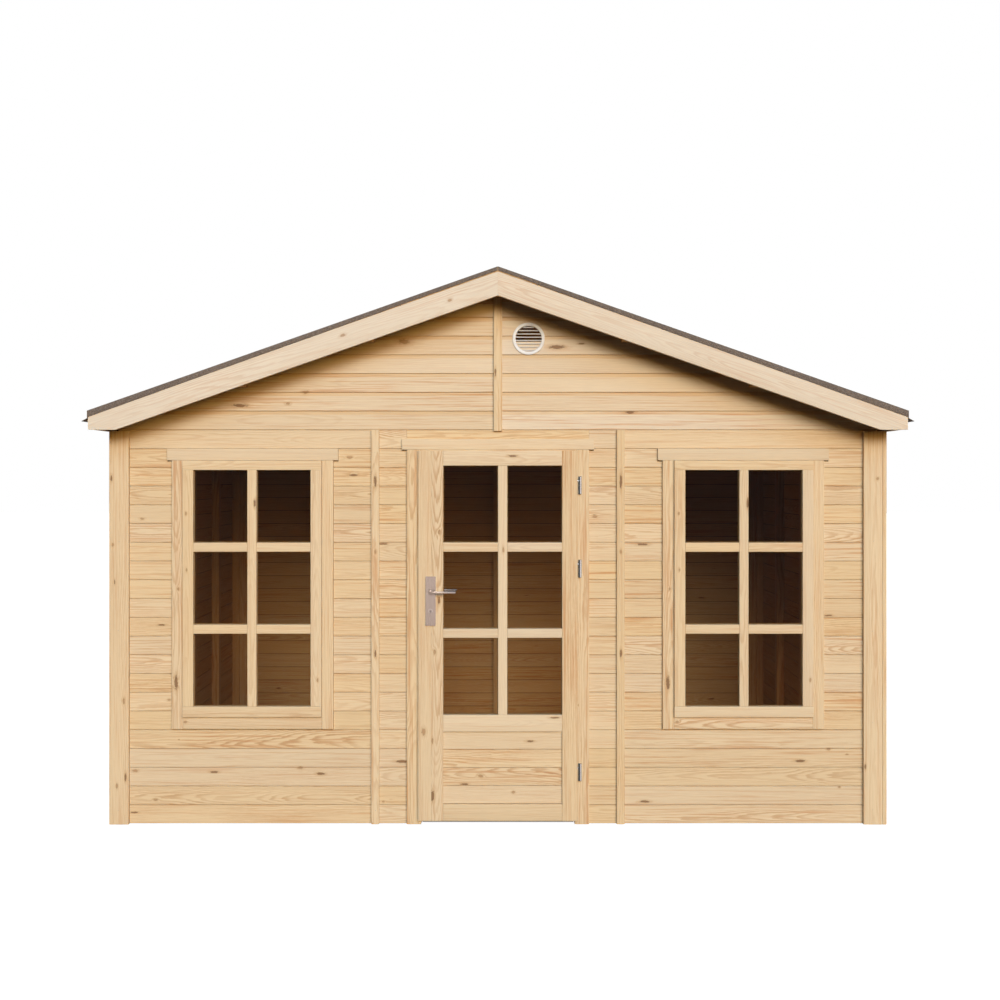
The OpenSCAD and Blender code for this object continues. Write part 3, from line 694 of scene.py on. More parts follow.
def wall_runs(row_low, row_high, left, right, openings):
    """What is left of one row of boards between its ends once openings are cut out.

    Each run is (left, right, low, high): full height beside an opening, and the strip over
    or under it where the opening takes only part of the row."""
    runs = []
    edges = sorted({left, right, *[min(max(e, left), right) for o in openings for e in o[:2]]})
    for a, b in zip(edges[:-1], edges[1:]):
        low, high = row_low, row_high
        middle = (a + b) / 2
        for o in openings:
            if o[0] < middle < o[1] and o[2] < high - HAIR and o[3] > low + HAIR:
                if o[2] <= low + HAIR:
                    low = min(high, o[3])
                else:
                    high = o[2]
        if high - low > SLIVER and b - a > SLIVER / 2:
            if runs and abs(runs[-1][1] - a) < HAIR / 10 and runs[-1][2:] == (low, high):
                a = runs.pop()[0]
            runs.append((a, b, low, high))
    return runs


def boarded(timber, left, right, face, out, lower, upper, joints=(), openings=(), along="x",
            limit=None, falling=False):
    """Rows of grooved boards on a wall from its left to its right end, split at the joints.

    The limit, a function of height, is the half length of a row under a sloping edge. What
    an opening leaves of one board keeps that board's grain on both of its sides."""
    lead, across, axis, sign = directions(along, out)
    outward = sign * UNIT[axis]
    for row in range(math.ceil((upper - lower) / pitch - 1e-4)):
        row_low = lower + row * pitch
        row_high = min(row_low + pitch, upper)
        ends = [left, *[j for j in sorted(joints) if left < j < right], right]
        for a, b in zip(ends[:-1], ends[1:]):
            same = None
            for start, end, low, high in wall_runs(row_low, row_high, a, b, openings):
                if limit is not None and start * end > 0:
                    heights = np.linspace(low, high, 90)
                    heights = heights[limit(heights) > min(abs(start), abs(end)) + SLIVER]
                    if len(heights) < 5:
                        continue
                    high = heights[-1]
                section = grooved(low, high, board_t, low == row_low, high == row_high, falling)
                first_cut = np.full(len(section), start)
                last_cut = np.full(len(section), end)
                if limit is not None:
                    reach = limit(section[:, 0])
                    first_cut = np.minimum(np.maximum(first_cut, -reach), last_cut - 10 * HAIR)
                    last_cut = np.maximum(np.minimum(last_cut, reach), first_cut + 10 * HAIR)
                    if last_cut.max() - first_cut.min() < 2 * SLIVER:
                        continue
                same = timber.board(section, outward * (face - board_t), UNIT[lead], UNIT[across],
                                    outward, first_cut, last_cut, like=same)


# Knots that stand out on the front, as (x, z, radius); a negative radius is a dead, dark knot.
FRONT_KNOTS = {
    "left": [
        (-1.670, 1.431, 0.005), (-1.578, 0.933, -0.004), (-0.696, 1.719, 0.006),
        (-0.677, 1.636, -0.005), (-1.544, 0.581, 0.005), (-1.331, 0.242, -0.005),
        (-0.927, 0.262, 0.006), (-0.832, 0.234, -0.006), (-1.702, 0.248, 0.007),
        (-1.607, 0.112, 0.005), (-0.539, 1.313, -0.004), (-0.448, 0.292, -0.006),
        (-0.539, 0.103, 0.004)],
    "right": [
        (0.456, 1.441, 0.005), (0.681, 1.311, -0.006), (1.418, 0.294, -0.006),
        (1.552, 0.349, 0.005), (0.689, 0.104, -0.005), (1.602, 0.171, 0.005),
        (1.548, 0.977, -0.004)],
    "gable": [
        (0.277, 2.237, -0.009), (-1.210, 1.962, -0.007), (-0.905, 2.025, 0.007),
        (-0.441, 2.262, 0.012), (-0.985, 1.972, 0.006), (0.62, 1.93, -0.006)],
    "corner_boards": [
        (-1.809, 1.622, -0.005), (-1.802, 1.310, 0.005), (-1.751, 0.578, 0.006),
        (-1.743, 0.222, -0.005), (-1.783, 0.180, 0.005), (1.777, 1.620, 0.006),
        (1.720, 0.271, -0.004)],
    "strips": [
        (-0.574, 1.608, -0.006), (-0.574, 1.277, 0.005), (-0.574, 0.800, -0.005),
        (0.576, 1.608, -0.006), (0.576, 1.277, 0.005), (0.576, 0.800, -0.005),
        (-0.012, 2.118, -0.0035)],
    "barge": [(-0.218, 2.431, 0.006), (-0.705, 2.272, 0.006)],
    "window": [(-1.498, 1.103, 0.005), (-1.507, 0.664, -0.008), (-1.464, 0.480, 0.006)],
    "sash": [(-1.136, 1.503, -0.0055), (-1.458, 1.456, 0.004), (-1.455, 1.193, 0.004),
             (-0.843, 0.678, 0.005)],
    "leaf": [
        (0.067, 1.725, -0.005), (0.104, 1.754, 0.008), (0.025, 1.287, 0.005),
        (-0.275, 1.372, 0.005), (-0.275, 1.049, -0.005), (-0.295, 0.811, 0.006),
        (-0.347, 0.437, 0.010), (-0.306, 0.395, 0.005), (-0.306, 0.139, -0.009),
        (0.265, 0.503, -0.004)],
    "panel": [(0.150, 0.391, -0.004), (-0.080, 0.229, 0.007), (-0.157, 0.190, -0.005),
              (0.072, 0.153, 0.006)]}


def front_marks(name, y, shift=0.0):
    return [(x + shift, y, z, r) for x, z, r in FRONT_KNOTS[name]]


def front_openings(side):
    """What the window, its head's ears and the door's head cut out of a front wall."""
    gap = 0.0008
    under_ear = 0.005
    (wx, wz), (dx, dz) = [(levels(node, "x"), levels(node, "z"))
                          for node in (f"window_frame_{side}", "door_frame")]
    return [(wx[1] - gap, wx[-2] + gap, wz[0], wz[-1]),
            (wx[0] - gap, wx[-1] + gap, wz[-2] - under_ear, wz[-1]),
            (dx[0] - gap, dx[-1] + gap, dz[-2] - under_ear, dz[-1]),
            (dx[1] - gap, dx[-2] + gap, 0.0, dz[-1])]


def make_walls():
    for side, sign in (("left", -1), ("right", 1)):
        low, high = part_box(f"front_wall_{side}")
        timber = Timber(0.25, front_marks(side, -half_d))
        boarded(timber, low.x, high.x, half_d, "-y", 0.0, wall_h, [sign * strip_x],
                front_openings(side))
        timber.piece(f"front_boards_{side}", BOARDS, "house", "spruce", f"front_wall_{side}")
        timber = Timber()
        boarded(timber, -half_d, half_d, half_w, ("-" if side == "left" else "+") + "x",
                0.0, wall_h, [0.0], along="y")
        timber.piece(f"{side}_boards", BOARDS, "house", "spruce", f"{side}_wall")
    low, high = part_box("front_wall_over_door")
    timber = Timber(0.0)
    timber.board(grooved(low.z, high.z, board_t, at_low=False), [0, board_t - half_d, 0],
                 UNIT[0], UNIT[2], -UNIT[1], low.x, high.x)
    timber.piece("boards_over_door", BOARDS, "house", "spruce", "front_wall_over_door")
    timber = Timber()
    boarded(timber, back_low.x, back_high.x, half_d, "+y", 0.0, wall_h, [-strip_x, strip_x])
    timber.piece("back_boards", BOARDS, "house", "spruce", "back_wall")


VENT_SHUT = 0.014


def vent_hole():
    """Stacked oblongs that together follow the vent's round hole, just inside its flange.

    The board behind the lower blades is whole: the hole begins this far below the middle."""
    low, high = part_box("gable_vent")
    x, z, reach = (low.x + high.x) / 2, (low.z + high.z) / 2, 0.985 * (high.x - low.x) / 2
    oblongs = []
    for turn in (16, 31, 45, 59, 74):
        w, h = reach * math.cos(math.radians(turn)), reach * math.sin(math.radians(turn))
        oblongs.append((x - w, x + w, z - VENT_SHUT, z + h))
    return oblongs


def make_gables():
    """Gable boards as long as the roof lets them be, notched round the purlins.

    At height z the underside of the roof is (ridge - z) / tan(slope) away from the ridge."""

    def reach(z):
        return np.minimum(half_w, (ridge_under - 0.0002 - z) / slope_tan)

    notches = [(p[:, 0].min() - PLAY, p[:, 0].max() + PLAY, p[:, 2].min() - PLAY, math.inf)
               for p in solids("purlins")]
    for side, out, marks, hole in (("front", "-y", front_marks("gable", -half_d), vent_hole()),
                                   ("back", "+y", (), [])):
        timber = Timber(0.3, marks, pale=(0.3, 0.75), vivid=(0.0, 0.3))
        boarded(timber, -half_w, half_w, half_d, out, wall_h, ridge_under, [0.0], notches + hole,
                limit=reach, falling=True)
        timber.piece(f"{side}_gable_boards", GABLE_BOARDS, "house", "spruce", f"{side}_gable")


def make_floor():
    """Floor boards along the length of the house, grooved on top, each with one joint."""
    low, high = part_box("floor")
    count = round((high.y - low.y) / FLOOR_PITCH)
    width = (high.y - low.y) / count
    timber = Timber(0.6)
    for row in range(count):
        y = low.y + row * width
        section = grooved(y, y + width, high.z - low.z)
        joint = chance.uniform(-0.9, 0.9)
        for a, b in ((low.x, joint), (joint + JOINT_GAP, high.x)):
            timber.board(section, [0, 0, low.z], UNIT[0], UNIT[1], UNIT[2], a, b)
    timber.piece("floor_boards", FLOOR_WOOD, "house", "framing_timber", "floor")


# ---- studs, plates, purlins, trim ----


def outer_face(points):
    """The outward side of a flat upright board: the front or back if it is thinnest there."""
    face = 1 if np.ptp(points[:, 1]) < np.ptp(points[:, 0]) else 0
    return ("-" if points[:, face].mean() < 0 else "+") + "xyz"[face]


def dressed(node, name, material, slot, out=None, radius=0.002, along=None, stray=0.5, knots=()):
    """Each solid of a CAD node as a planed board with rounded edges."""
    timber = Timber(stray, knots)
    for points in solids(node):
        lead = along or "xyz"[int(np.argmax(np.ptp(points, axis=0)))]
        timber.run(points, lead, out or outer_face(points), radius)
    timber.piece(name, material, "house", slot, node)


def make_framing():
    for place, side, out in (("front", "_left", "+y"), ("left", "", "+x"),
                             ("front", "_right", "+y"), ("right", "", "-x"),
                             ("back", "", "-y"), ("gable", "", "+y")):
        dressed(f"{place}_framing{side}", f"{place}_studs{side}", ROUGH_WOOD, "framing_timber", out)
    dressed("purlins", "purlin_beams", ROUGH_WOOD, "framing_timber", "+z", 0.003, "y")


def make_trim():
    dressed("corner_boards_front", "corner_trim_front", WOOD, "spruce", None, 0.0025, "z", 0.2,
            front_marks("corner_boards", -1.46))
    dressed("corner_boards_back", "corner_trim_back", WOOD, "spruce", None, 0.0025, "z")
    dressed("cover_strips_front", "strips_front", WOOD, "spruce", "-y", 0.003, "z", 0.0,
            front_marks("strips", -1.45))
    dressed("cover_strips_back", "strips_back", WOOD, "spruce", "+y", 0.003, "z")
    dressed("cover_strips_sides", "strips_sides", WOOD, "spruce", None, 0.003, "z")


# ---- roof ----


def slope_axes(sign):
    """Down the slope and square out of it, on the left (-1) or the right (1)."""
    return (np.array([sign * slope_cos, 0, -slope_sin]), np.array([sign * slope_sin, 0, slope_cos]))


def make_roof_boards():
    """Boards along the ridge on each slope, grooved underneath, with their real pitch.

    A point h above the underside lies h tan(slope) up the slope where a board is cut plumb,
    at the ridge and at the eaves."""
    length = math.hypot(slope_high.x, slope_high.x * slope_tan)
    thick = (slope_high.z - ridge_under) * slope_cos
    count = round(length / ROOF_PITCH)
    width = length / count
    for side, sign in (("left", -1), ("right", 1)):
        down, up = slope_axes(sign)
        timber = Timber()
        for row in range(count):
            section = grooved(row * width, (row + 1) * width, thick, row > 0, row < count - 1)
            section[:, 1] = thick - section[:, 1]
            plumb = (section[:, 0] < HAIR / 10) | (section[:, 0] > length - HAIR / 10)
            section[plumb, 0] -= section[plumb, 1] * slope_tan
            joint = chance.uniform(-0.8, 0.8)
            for a, b in ((slope_low.y, joint), (joint + JOINT_GAP, slope_high.y)):
                timber.board(section, [0, 0, ridge_under], UNIT[1], down, up, a, b)
        timber.piece(f"roof_boarding_{side}", ROUGH_WOOD, "house", "framing_timber",
                     f"roof_boards_{side}")


def make_barge_boards():
    """Barge boards along the slope, whose upper edge runs along the roof boards' underside.

    A point at a across the board is cut where its way s down the slope meets a plane:
    s = -a tan(slope) at the plumb cut at the ridge, s = (run - a sin(slope)) / cos(slope) at
    the plumb cut at the eaves and s = (fall + a cos(slope)) / sin(slope) at the level cut."""
    for end, out in (("front", -1.0), ("back", 1.0)):
        low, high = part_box(f"barge_boards_{end}")
        points = corners(f"barge_boards_{end}")[0]
        gap = np.abs(points[:, 0]).min()
        crown = points[np.abs(points[:, 0]) < gap + 0.001][:, 2]
        width = (crown.max() - crown.min()) * slope_cos
        thick = high.y - low.y
        run, fall = high.x - gap, crown.max() - low.z
        kink = (fall - run * slope_tan) * slope_cos
        outline = rounded(width, thick, 0.002)
        outline[:, 0] -= width / 2
        outline = np.concatenate([outline, [[-kink, thick / 2], [-kink, -thick / 2]]])
        ring = in_order(outline, (outline.min(axis=0) + outline.max(axis=0)) / 2)
        a = ring[:, 0]
        plumb = (run - a * slope_sin) / slope_cos
        level = (fall + a * slope_cos) / slope_sin
        timber = Timber(0.0, front_marks("barge", low.y) if end == "front" else (),
                        pale=(0.85, 1.0), vivid=(0.2, 0.5), warm=(0.2, 0.6))
        for sign in (-1, 1):
            down, up = slope_axes(sign)
            timber.board(ring, [sign * gap, (low.y + high.y) / 2, crown.max()], down, up,
                         [0, out, 0], -a * math.tan(slope_angle), np.minimum(plumb, level))
        timber.piece(f"barge_{end}", WOOD, "house", "spruce", f"barge_boards_{end}")
    dressed("eave_boards", "eave_fascias", WOOD, "spruce", along="y", stray=0.4)


# ---- glazed frames ----

# Edge radii of framed timber, of edges that meet without a shadow, and of stops; and how far
# the right-hand window's knots lie from the left-hand one's.
FRAME_SOFT = 0.0025
TIGHT_SOFT = 0.0008
STOP_SOFT = 0.001
WINDOW_SHIFT = 2.303


def glazing_bars(timber, xs, zs, depth):
    """Upright bars between columns of panes, and level bars between the panes above them."""
    for a, b in zip(xs[1:-1:2], xs[2:-1:2]):
        timber.bar(a, b, depth, zs[0] + SMALL_PLAY, zs[-1] - SMALL_PLAY, FRAME_SOFT)
        for c, d in zip(zs[1:-1:2], zs[2:-1:2]):
            for x0, x1 in ((xs[0], a), (b, xs[-1])):
                timber.bar(x0 + SMALL_PLAY, x1 - SMALL_PLAY, depth, c, d, FRAME_SOFT)


def beads(name, body, panes, glass_back, back):
    """Slim beads that hold each pane from the inside."""
    deep = min(0.008, back - glass_back - 0.002)
    tall = 0.0032
    timber = Timber(0.0)
    for pane in panes:
        (x0, _, z0), (x1, _, z1) = pane.min(axis=0), pane.max(axis=0)
        depth = (glass_back + PLAY, glass_back + PLAY + deep)
        for z in (z0 + SMALL_PLAY, z1 - tall - SMALL_PLAY):
            timber.bar(x0 + SMALL_PLAY, x1 - SMALL_PLAY, depth, z, z + tall, 0.001, 0.0)
        for x in (x0 + SMALL_PLAY, x1 - tall - SMALL_PLAY):
            timber.bar(x, x + tall, depth, z0 + tall, z1 - tall, 0.001, 0.0)
    timber.piece(name, ROUGH_WOOD, body, "spruce")


def head_with_ears(timber, x, y, z, radius, look):
    """The head board, whose ears lie on the wall boards, and the head's body behind it."""
    ear_back = board_t - half_d
    timber.bar(x[0], x[-1], (y[0], ear_back), z[-2], z[-1], radius, look=look)
    timber.bar(x[1], x[-2], (ear_back + PLAY, y[-1]), z[-2], z[-1])


def make_window(side):
    """Posts up to the head, a head with ears, a foot and stops beside and under the sash."""
    name = f"window_frame_{side}"
    shift = WINDOW_SHIFT if side == "right" else 0.0
    x, y, z = (levels(name, axis) for axis in "xyz")
    low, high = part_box(f"window_sash_{side}")
    depth = (y[0], y[-1])
    under_head = z[-2] - PLAY
    timber = Timber(0.0, front_marks("window", y[0], shift))
    timber.bar(x[1], low.x - PLAY, depth, z[0], under_head, FRAME_SOFT, quarter=False,
               look=[0.2, 0.45, 0.9])
    timber.bar(high.x + PLAY, x[-2], depth, z[0], under_head, FRAME_SOFT, quarter=True,
               look=[0.2, 0.4, 0.4])
    head_with_ears(timber, x, y, z, 0.001, [0.3, 0.0, 0.1])
    timber.bar(low.x, high.x, depth, z[0], low.z - PLAY, FRAME_SOFT)
    timber.bar(low.x, x[2], depth, low.z, under_head, STOP_SOFT)
    timber.bar(x[-3], high.x, depth, low.z, under_head, STOP_SOFT)
    timber.bar(x[2] + PLAY, x[-3] - PLAY, depth, low.z, z[1], STOP_SOFT)
    timber.piece(f"window_surround_{side}", WOOD, "house", "spruce", name)
    make_sash(side, low, high, shift)


def make_sash(side, low, high, shift):
    """A fixed sash: rails over its full width, stiles between them and glazing bars.

    The bars are what the panes of glass leave free inside the sash. The sash's front layer
    laps over the frame, and the deeper layer sits inside it."""
    node, glass = f"window_sash_{side}", f"window_glass_{side}"
    front, lip, *_, back = levels(node, "y")
    xs, zs = levels(glass, "x"), levels(glass, "z")
    lap_x = levels(node, "x")[1] - low.x
    lap_z = levels(node, "z")[1] - low.z
    timber = Timber(0.0, front_marks("sash", front, shift), pale=(0.1, 0.4), vivid=(0.0, 0.4),
                    warm=(0.0, 0.4))
    bottom, top = zs[0] + SMALL_PLAY, zs[-1] - SMALL_PLAY
    for depth, lap, drop in (((front, lip), 0.0, 0.0), ((lip, back), lap_x, lap_z)):
        x0, x1 = low.x + lap, high.x - lap
        timber.bar(x0, x1, depth, zs[-1], high.z, TIGHT_SOFT)
        timber.bar(x0, x1, depth, low.z + drop, zs[0], FRAME_SOFT)
        timber.bar(x0, xs[0], depth, bottom, top, FRAME_SOFT)
        timber.bar(xs[-1], x1, depth, bottom, top, FRAME_SOFT)
    glazing_bars(timber, xs, zs, (front, back))
    timber.piece(f"sash_{side}", WOOD, "house", "spruce", node)
    beads(f"sash_{side}_beads", "house", solids(glass), levels(glass, "y")[-1], back)


def make_door_frame():
    """Two posts, a head with ears and a stop under it."""
    x, y, z = (levels("door_frame", axis) for axis in "xyz")
    depth = (y[0], y[-1])
    under_head = z[-2] - PLAY
    timber = Timber(0.2)
    timber.bar(x[1], x[2], depth, 0, under_head, FRAME_SOFT, quarter=False, look=[0.12, 0.6, 0.8])
    timber.bar(-x[2], -x[1], depth, 0, under_head, FRAME_SOFT, quarter=False,
               look=[0.15, 0.5, 0.8])
    head_with_ears(timber, x, y, z, 0.002, [0.35, 0.1, 0.15])
    timber.bar(x[2] + PLAY, -x[2] - PLAY, depth, z[1], under_head, STOP_SOFT)
    timber.piece("door_surround", WOOD, "house", "spruce", "door_frame")


def make_door_leaf():
    """Stiles over the full height, rails between them, bars between the panes.

    The lock stile is glued up from two boards."""
    low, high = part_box("door_leaf")
    panel_low, panel_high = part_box("door_panel")
    y = levels("door_leaf", "y")
    xs, zs = levels("door_glass", "x"), levels("door_glass", "z")
    front, back = low.y, high.y
    lip = y[(y > front + 0.001) & (y < back - 0.001)][0]
    lap = levels("door_leaf", "x")[1] - low.x
    timber = Timber(0.0, front_marks("leaf", front), pale=(0.3, 0.5), vivid=(0.0, 0.2),
                    warm=(0.0, 0.3))
    glue = (low.x + xs[0]) / 2 + 0.003
    for depth, inset in (((front, lip), 0.0), ((lip, back), lap)):
        for x0, x1, radius, quarter, look in (
                (low.x + inset, glue, TIGHT_SOFT, True, [0.2, 0.5, 0.3]),
                (glue, xs[0], TIGHT_SOFT, False, [0.2, 0.7, 0.4]),
                (xs[-1], high.x - inset, FRAME_SOFT, True, [0.1, 0.8, 0.9])):
            timber.bar(x0, x1, depth, low.z, high.z, radius, quarter=quarter, look=look)
    for z0, z1, look in ((zs[-1], high.z, [0.45, 0.1, 0.1]),
                         (panel_high.z, zs[0], [0.45, 0.0, 0.1]),
                         (low.z, panel_low.z, [0.1, 0.1, 0.1])):
        timber.bar(xs[0] + SMALL_PLAY, xs[-1] - SMALL_PLAY, (front, back), z0, z1, FRAME_SOFT,
                   look=look)
    glazing_bars(timber, xs, zs, (front, back))
    timber.piece("leaf_timber", WOOD, "door", "spruce", "door_leaf")
    # a rubber seal under the leaf; its dark colour is also painted shadow for the gap at the leaf's
    # foot
    seal = Skins()
    seal.prism(rounded(0.012, 0.0046, 0.001, 2) + [front + 0.012, low.z - 0.0022], "x",
               (low.x + lap + 0.001, high.x - lap - 0.001))
    seal.piece("leaf_seal_shadow", SEAL_SHADE, "door", "satin_steel")
    beads("leaf_beads", "door", solids("door_glass"), corners("door_glass")[0][:, 1].max(), back)
    timber = Timber(0.0, front_marks("panel", panel_low.y))
    looks = [[0.3, 0.5, 0.2], [0.1, 0.9, 0.9], [0.2, 0.7, 0.5], [0.25, 0.3, 0.1]]
    tall = panel_high.z - panel_low.z
    count = round(tall / pitch)
    edge = [panel_low.z + i * tall / count for i in range(count + 1)]
    for i in range(count):
        section = grooved(edge[i], edge[i + 1], panel_high.y - panel_low.y)
        timber.board(section, [0, panel_high.y, 0], UNIT[0], UNIT[2], -UNIT[1],
                     panel_low.x, panel_high.x, look=looks[i % len(looks)])
    timber.piece("leaf_panel", WOOD, "door", "spruce", "door_panel")


def plain(material, slot, *nodes, edge=0.0):
    """CAD nodes whose shape is right keep it, get a finish and, with an edge, softer edges."""
    for node in nodes:
        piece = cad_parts[node]
        piece.data.materials.clear()
        piece.data.materials.append(material)
        if edge:
            weld = piece.modifiers.new("weld", "WELD")
            weld.merge_threshold = 0.00002
            bevel = piece.modifiers.new("bevel", "BEVEL")
            bevel.width = edge
            bevel.segments = 2
            bevel.limit_method = "ANGLE"
            bevel.angle_limit = math.radians(40)


# ---- roof felt ----

# The felt's thickness, the width of a roll, how far one strip laps over the next, the air
# under a strip and under a fold, and how far the ridge strip goes down each slope.
FELT_T = 0.0018
ROLL = 1.0
LAP = 0.08
UNDER = 0.0003
HEEL = 0.0004
RIDGE_REACH = 0.22


def thick_band(path, thick):
    """An open line and its copy a thickness away on its right, joined to a closed outline.

    Each point moves along the mean of its two edges' normals, stretched so that the band
    keeps its thickness round a bend."""
    edge = np.diff(path, axis=0)
    normal = np.stack([edge[:, 1], -edge[:, 0]], 1) / np.linalg.norm(edge, axis=1, keepdims=True)
    before = np.vstack([normal[:1], normal])
    after = np.vstack([normal, normal[-1:]])
    mean = before + after
    mean /= np.linalg.norm(mean, axis=1, keepdims=True)
    stretch = 1 / np.maximum(0.5, (mean * before).sum(axis=1, keepdims=True))
    return np.concatenate([path, (path + mean * thick * stretch)[::-1]])


def bend(a, corner, b, radius, steps=4):
    """A rounded corner between two straight runs, as points of a quadratic curve."""
    a, corner, b = (np.array(p, float) for p in (a, corner, b))
    p = corner + (a - corner) / np.linalg.norm(a - corner) * radius
    q = corner + (b - corner) / np.linalg.norm(b - corner) * radius
    return curve(p, corner, q, steps)


def on_slope(along, height):
    """(x, z) of a point so far down the right-hand slope, and so high above the boards."""
    return (np.array([0.0, slope_high.z]) + along * np.array([slope_cos, -slope_sin])
            + height * np.array([slope_sin, slope_cos]))


def make_felt():
    """Strips of felt along the roof, each lapping over the one below, with a ridge strip.

    The lower strip folds down over the eave. The upper one climbs on to it by a smooth step,
    s^2 (3 - 2s), and lies in faint ripples."""
    felt = corners("roof_felt_right")[0]
    tip = felt[np.argmax(felt[:, 0])]
    foot = (tip[0], tip[2] + 0.001)
    out = slope_high.x + FELT_T + 0.0006
    fold_z = felt[np.abs(felt[:, 0] - slope_high.x - 0.003) < 0.0005][:, 2].min()
    edge_y = slope_high.y
    length = out / slope_cos
    high = FELT_T + UNDER
    overhang = 0.0012
    stations = np.linspace(-edge_y - overhang, edge_y + overhang, 60)
    corner = on_slope(length, high)
    start = length + 0.03 - ROLL
    knee = on_slope(length - 0.3, high)
    fold = (corner[0], fold_z)
    lower = np.vstack([on_slope(start, high), knee, bend(knee, corner, fold, 0.0012, 2),
                       bend(corner, fold, foot, 0.004, 2), [foot]])
    step = np.linspace(0, 1, 5)
    ease = step * step * (3 - 2 * step)
    upper = np.vstack([on_slope(0.10, high), on_slope(start - 0.06, high),
                       [on_slope(start - 0.05 + 0.045 * s, high + FELT_T * e)
                        for s, e in zip(step, ease)], on_slope(start + LAP, high + FELT_T)])
    ripple = 0.0004 * (np.sin(stations * 9.1 + 1) + np.sin(stations * 23.7))[:, None]
    for side, sign in (("left", -1), ("right", 1)):
        skins = Skins()
        for path, lift in ((lower, 0.0), (upper, np.maximum(ripple, 0))):
            skins.prism(thick_band(path, FELT_T) * [sign, 1], "y", stations, lift)
        skins.piece(f"felt_strips_{side}", FELT, "house", "roof_felt", f"roof_felt_{side}")
    skins = Skins()
    high = 2 * FELT_T + UNDER
    half_path = np.array([on_slope(d, high) for d in np.linspace(RIDGE_REACH, 0.012, 6)])
    crown = (0, on_slope(0, high)[1])
    path = np.vstack([half_path * [-1, 1],
                      bend(half_path[-1] * [-1, 1], crown, half_path[-1], 0.009), half_path[::-1]])
    skins.prism(thick_band(path, FELT_T), "y", stations)
    skins.piece("felt_ridge", FELT, "house", "roof_felt")
    make_verge_felt(felt, length, edge_y)
    make_felt_nails(start, corner, fold_z, edge_y)


def make_verge_felt(felt, length, edge_y):
    """The felt folded down over both verges, with a slightly uneven cut edge.

    The edge is a random walk, tilted so that it starts and ends level."""
    face = felt[felt[:, 1] < -edge_y - 0.002]
    ridge = face[face[:, 0] < 0.001][:, 2]
    eave = face[face[:, 0] > face[:, 0].max() - 0.001][:, 2]
    ridge_drop, eave_drop = np.ptp(ridge), np.ptp(eave)
    skins = Skins()
    share = np.linspace(0, 1, 80)
    for sign in (-1, 1):
        for end in (-1, 1):
            uneven = 0.0006 * np.cumsum(chance.normal(0, 0.5, len(share)))
            uneven -= np.linspace(uneven[0], uneven[-1], len(share))
            rings = []
            for s, rough in zip(share, uneven):
                x, z = on_slope(s * length, 2 * FELT_T + HEEL)
                drop = ridge_drop + s * (eave_drop - ridge_drop) + np.clip(rough, -0.0012, 0.0012)
                section = rounded(0.0026, drop, 0.0012, 2)
                rings.append(np.stack([np.full(len(section), sign * x),
                                       end * (edge_y + 0.0016 + section[:, 0]),
                                       z - drop / 2 + section[:, 1]], 1))
            skins.rings(np.array(rings))
    skins.piece("felt_verges", FELT, "house", "roof_felt")


def make_felt_nails(start, corner, fold_z, edge_y):
    """Broad-headed nails along the laps and down the folds at the eaves."""
    head = [(EYE, -0.002), (0.0046, -0.002), (0.0048, 0.0002), (0.0036, 0.0009), (EYE, 0.0012)]
    spacing = 0.15
    skins = Skins()
    for sign in (-1, 1):
        up = slope_axes(sign)[1]
        for y in np.arange(-edge_y + 0.05, edge_y, spacing):
            jitter = chance.uniform(-0.006, 0.006, 2)
            x, z = on_slope(start + LAP - 0.03 + jitter[0], 2 * FELT_T + HEEL)
            skins.turned(head, (sign * x, y + jitter[1], z), up, 12)
            skins.turned(head, (sign * (corner[0] + 0.0001), y + jitter[1],
                                (corner[1] + fold_z) / 2 + jitter[0] * 0.4), (sign, 0, 0), 12)
            x, z = on_slope(RIDGE_REACH - 0.02 + jitter[1] * 0.5, 3 * FELT_T - 0.0012)
            skins.turned(head, (sign * x, y + jitter[0], z), up, 12)
    skins.piece("felt_nails", ZINC, "house", "satin_steel")


# ---- door furniture ----

# how far small parts start behind the face they sit on
SUNK = -0.002


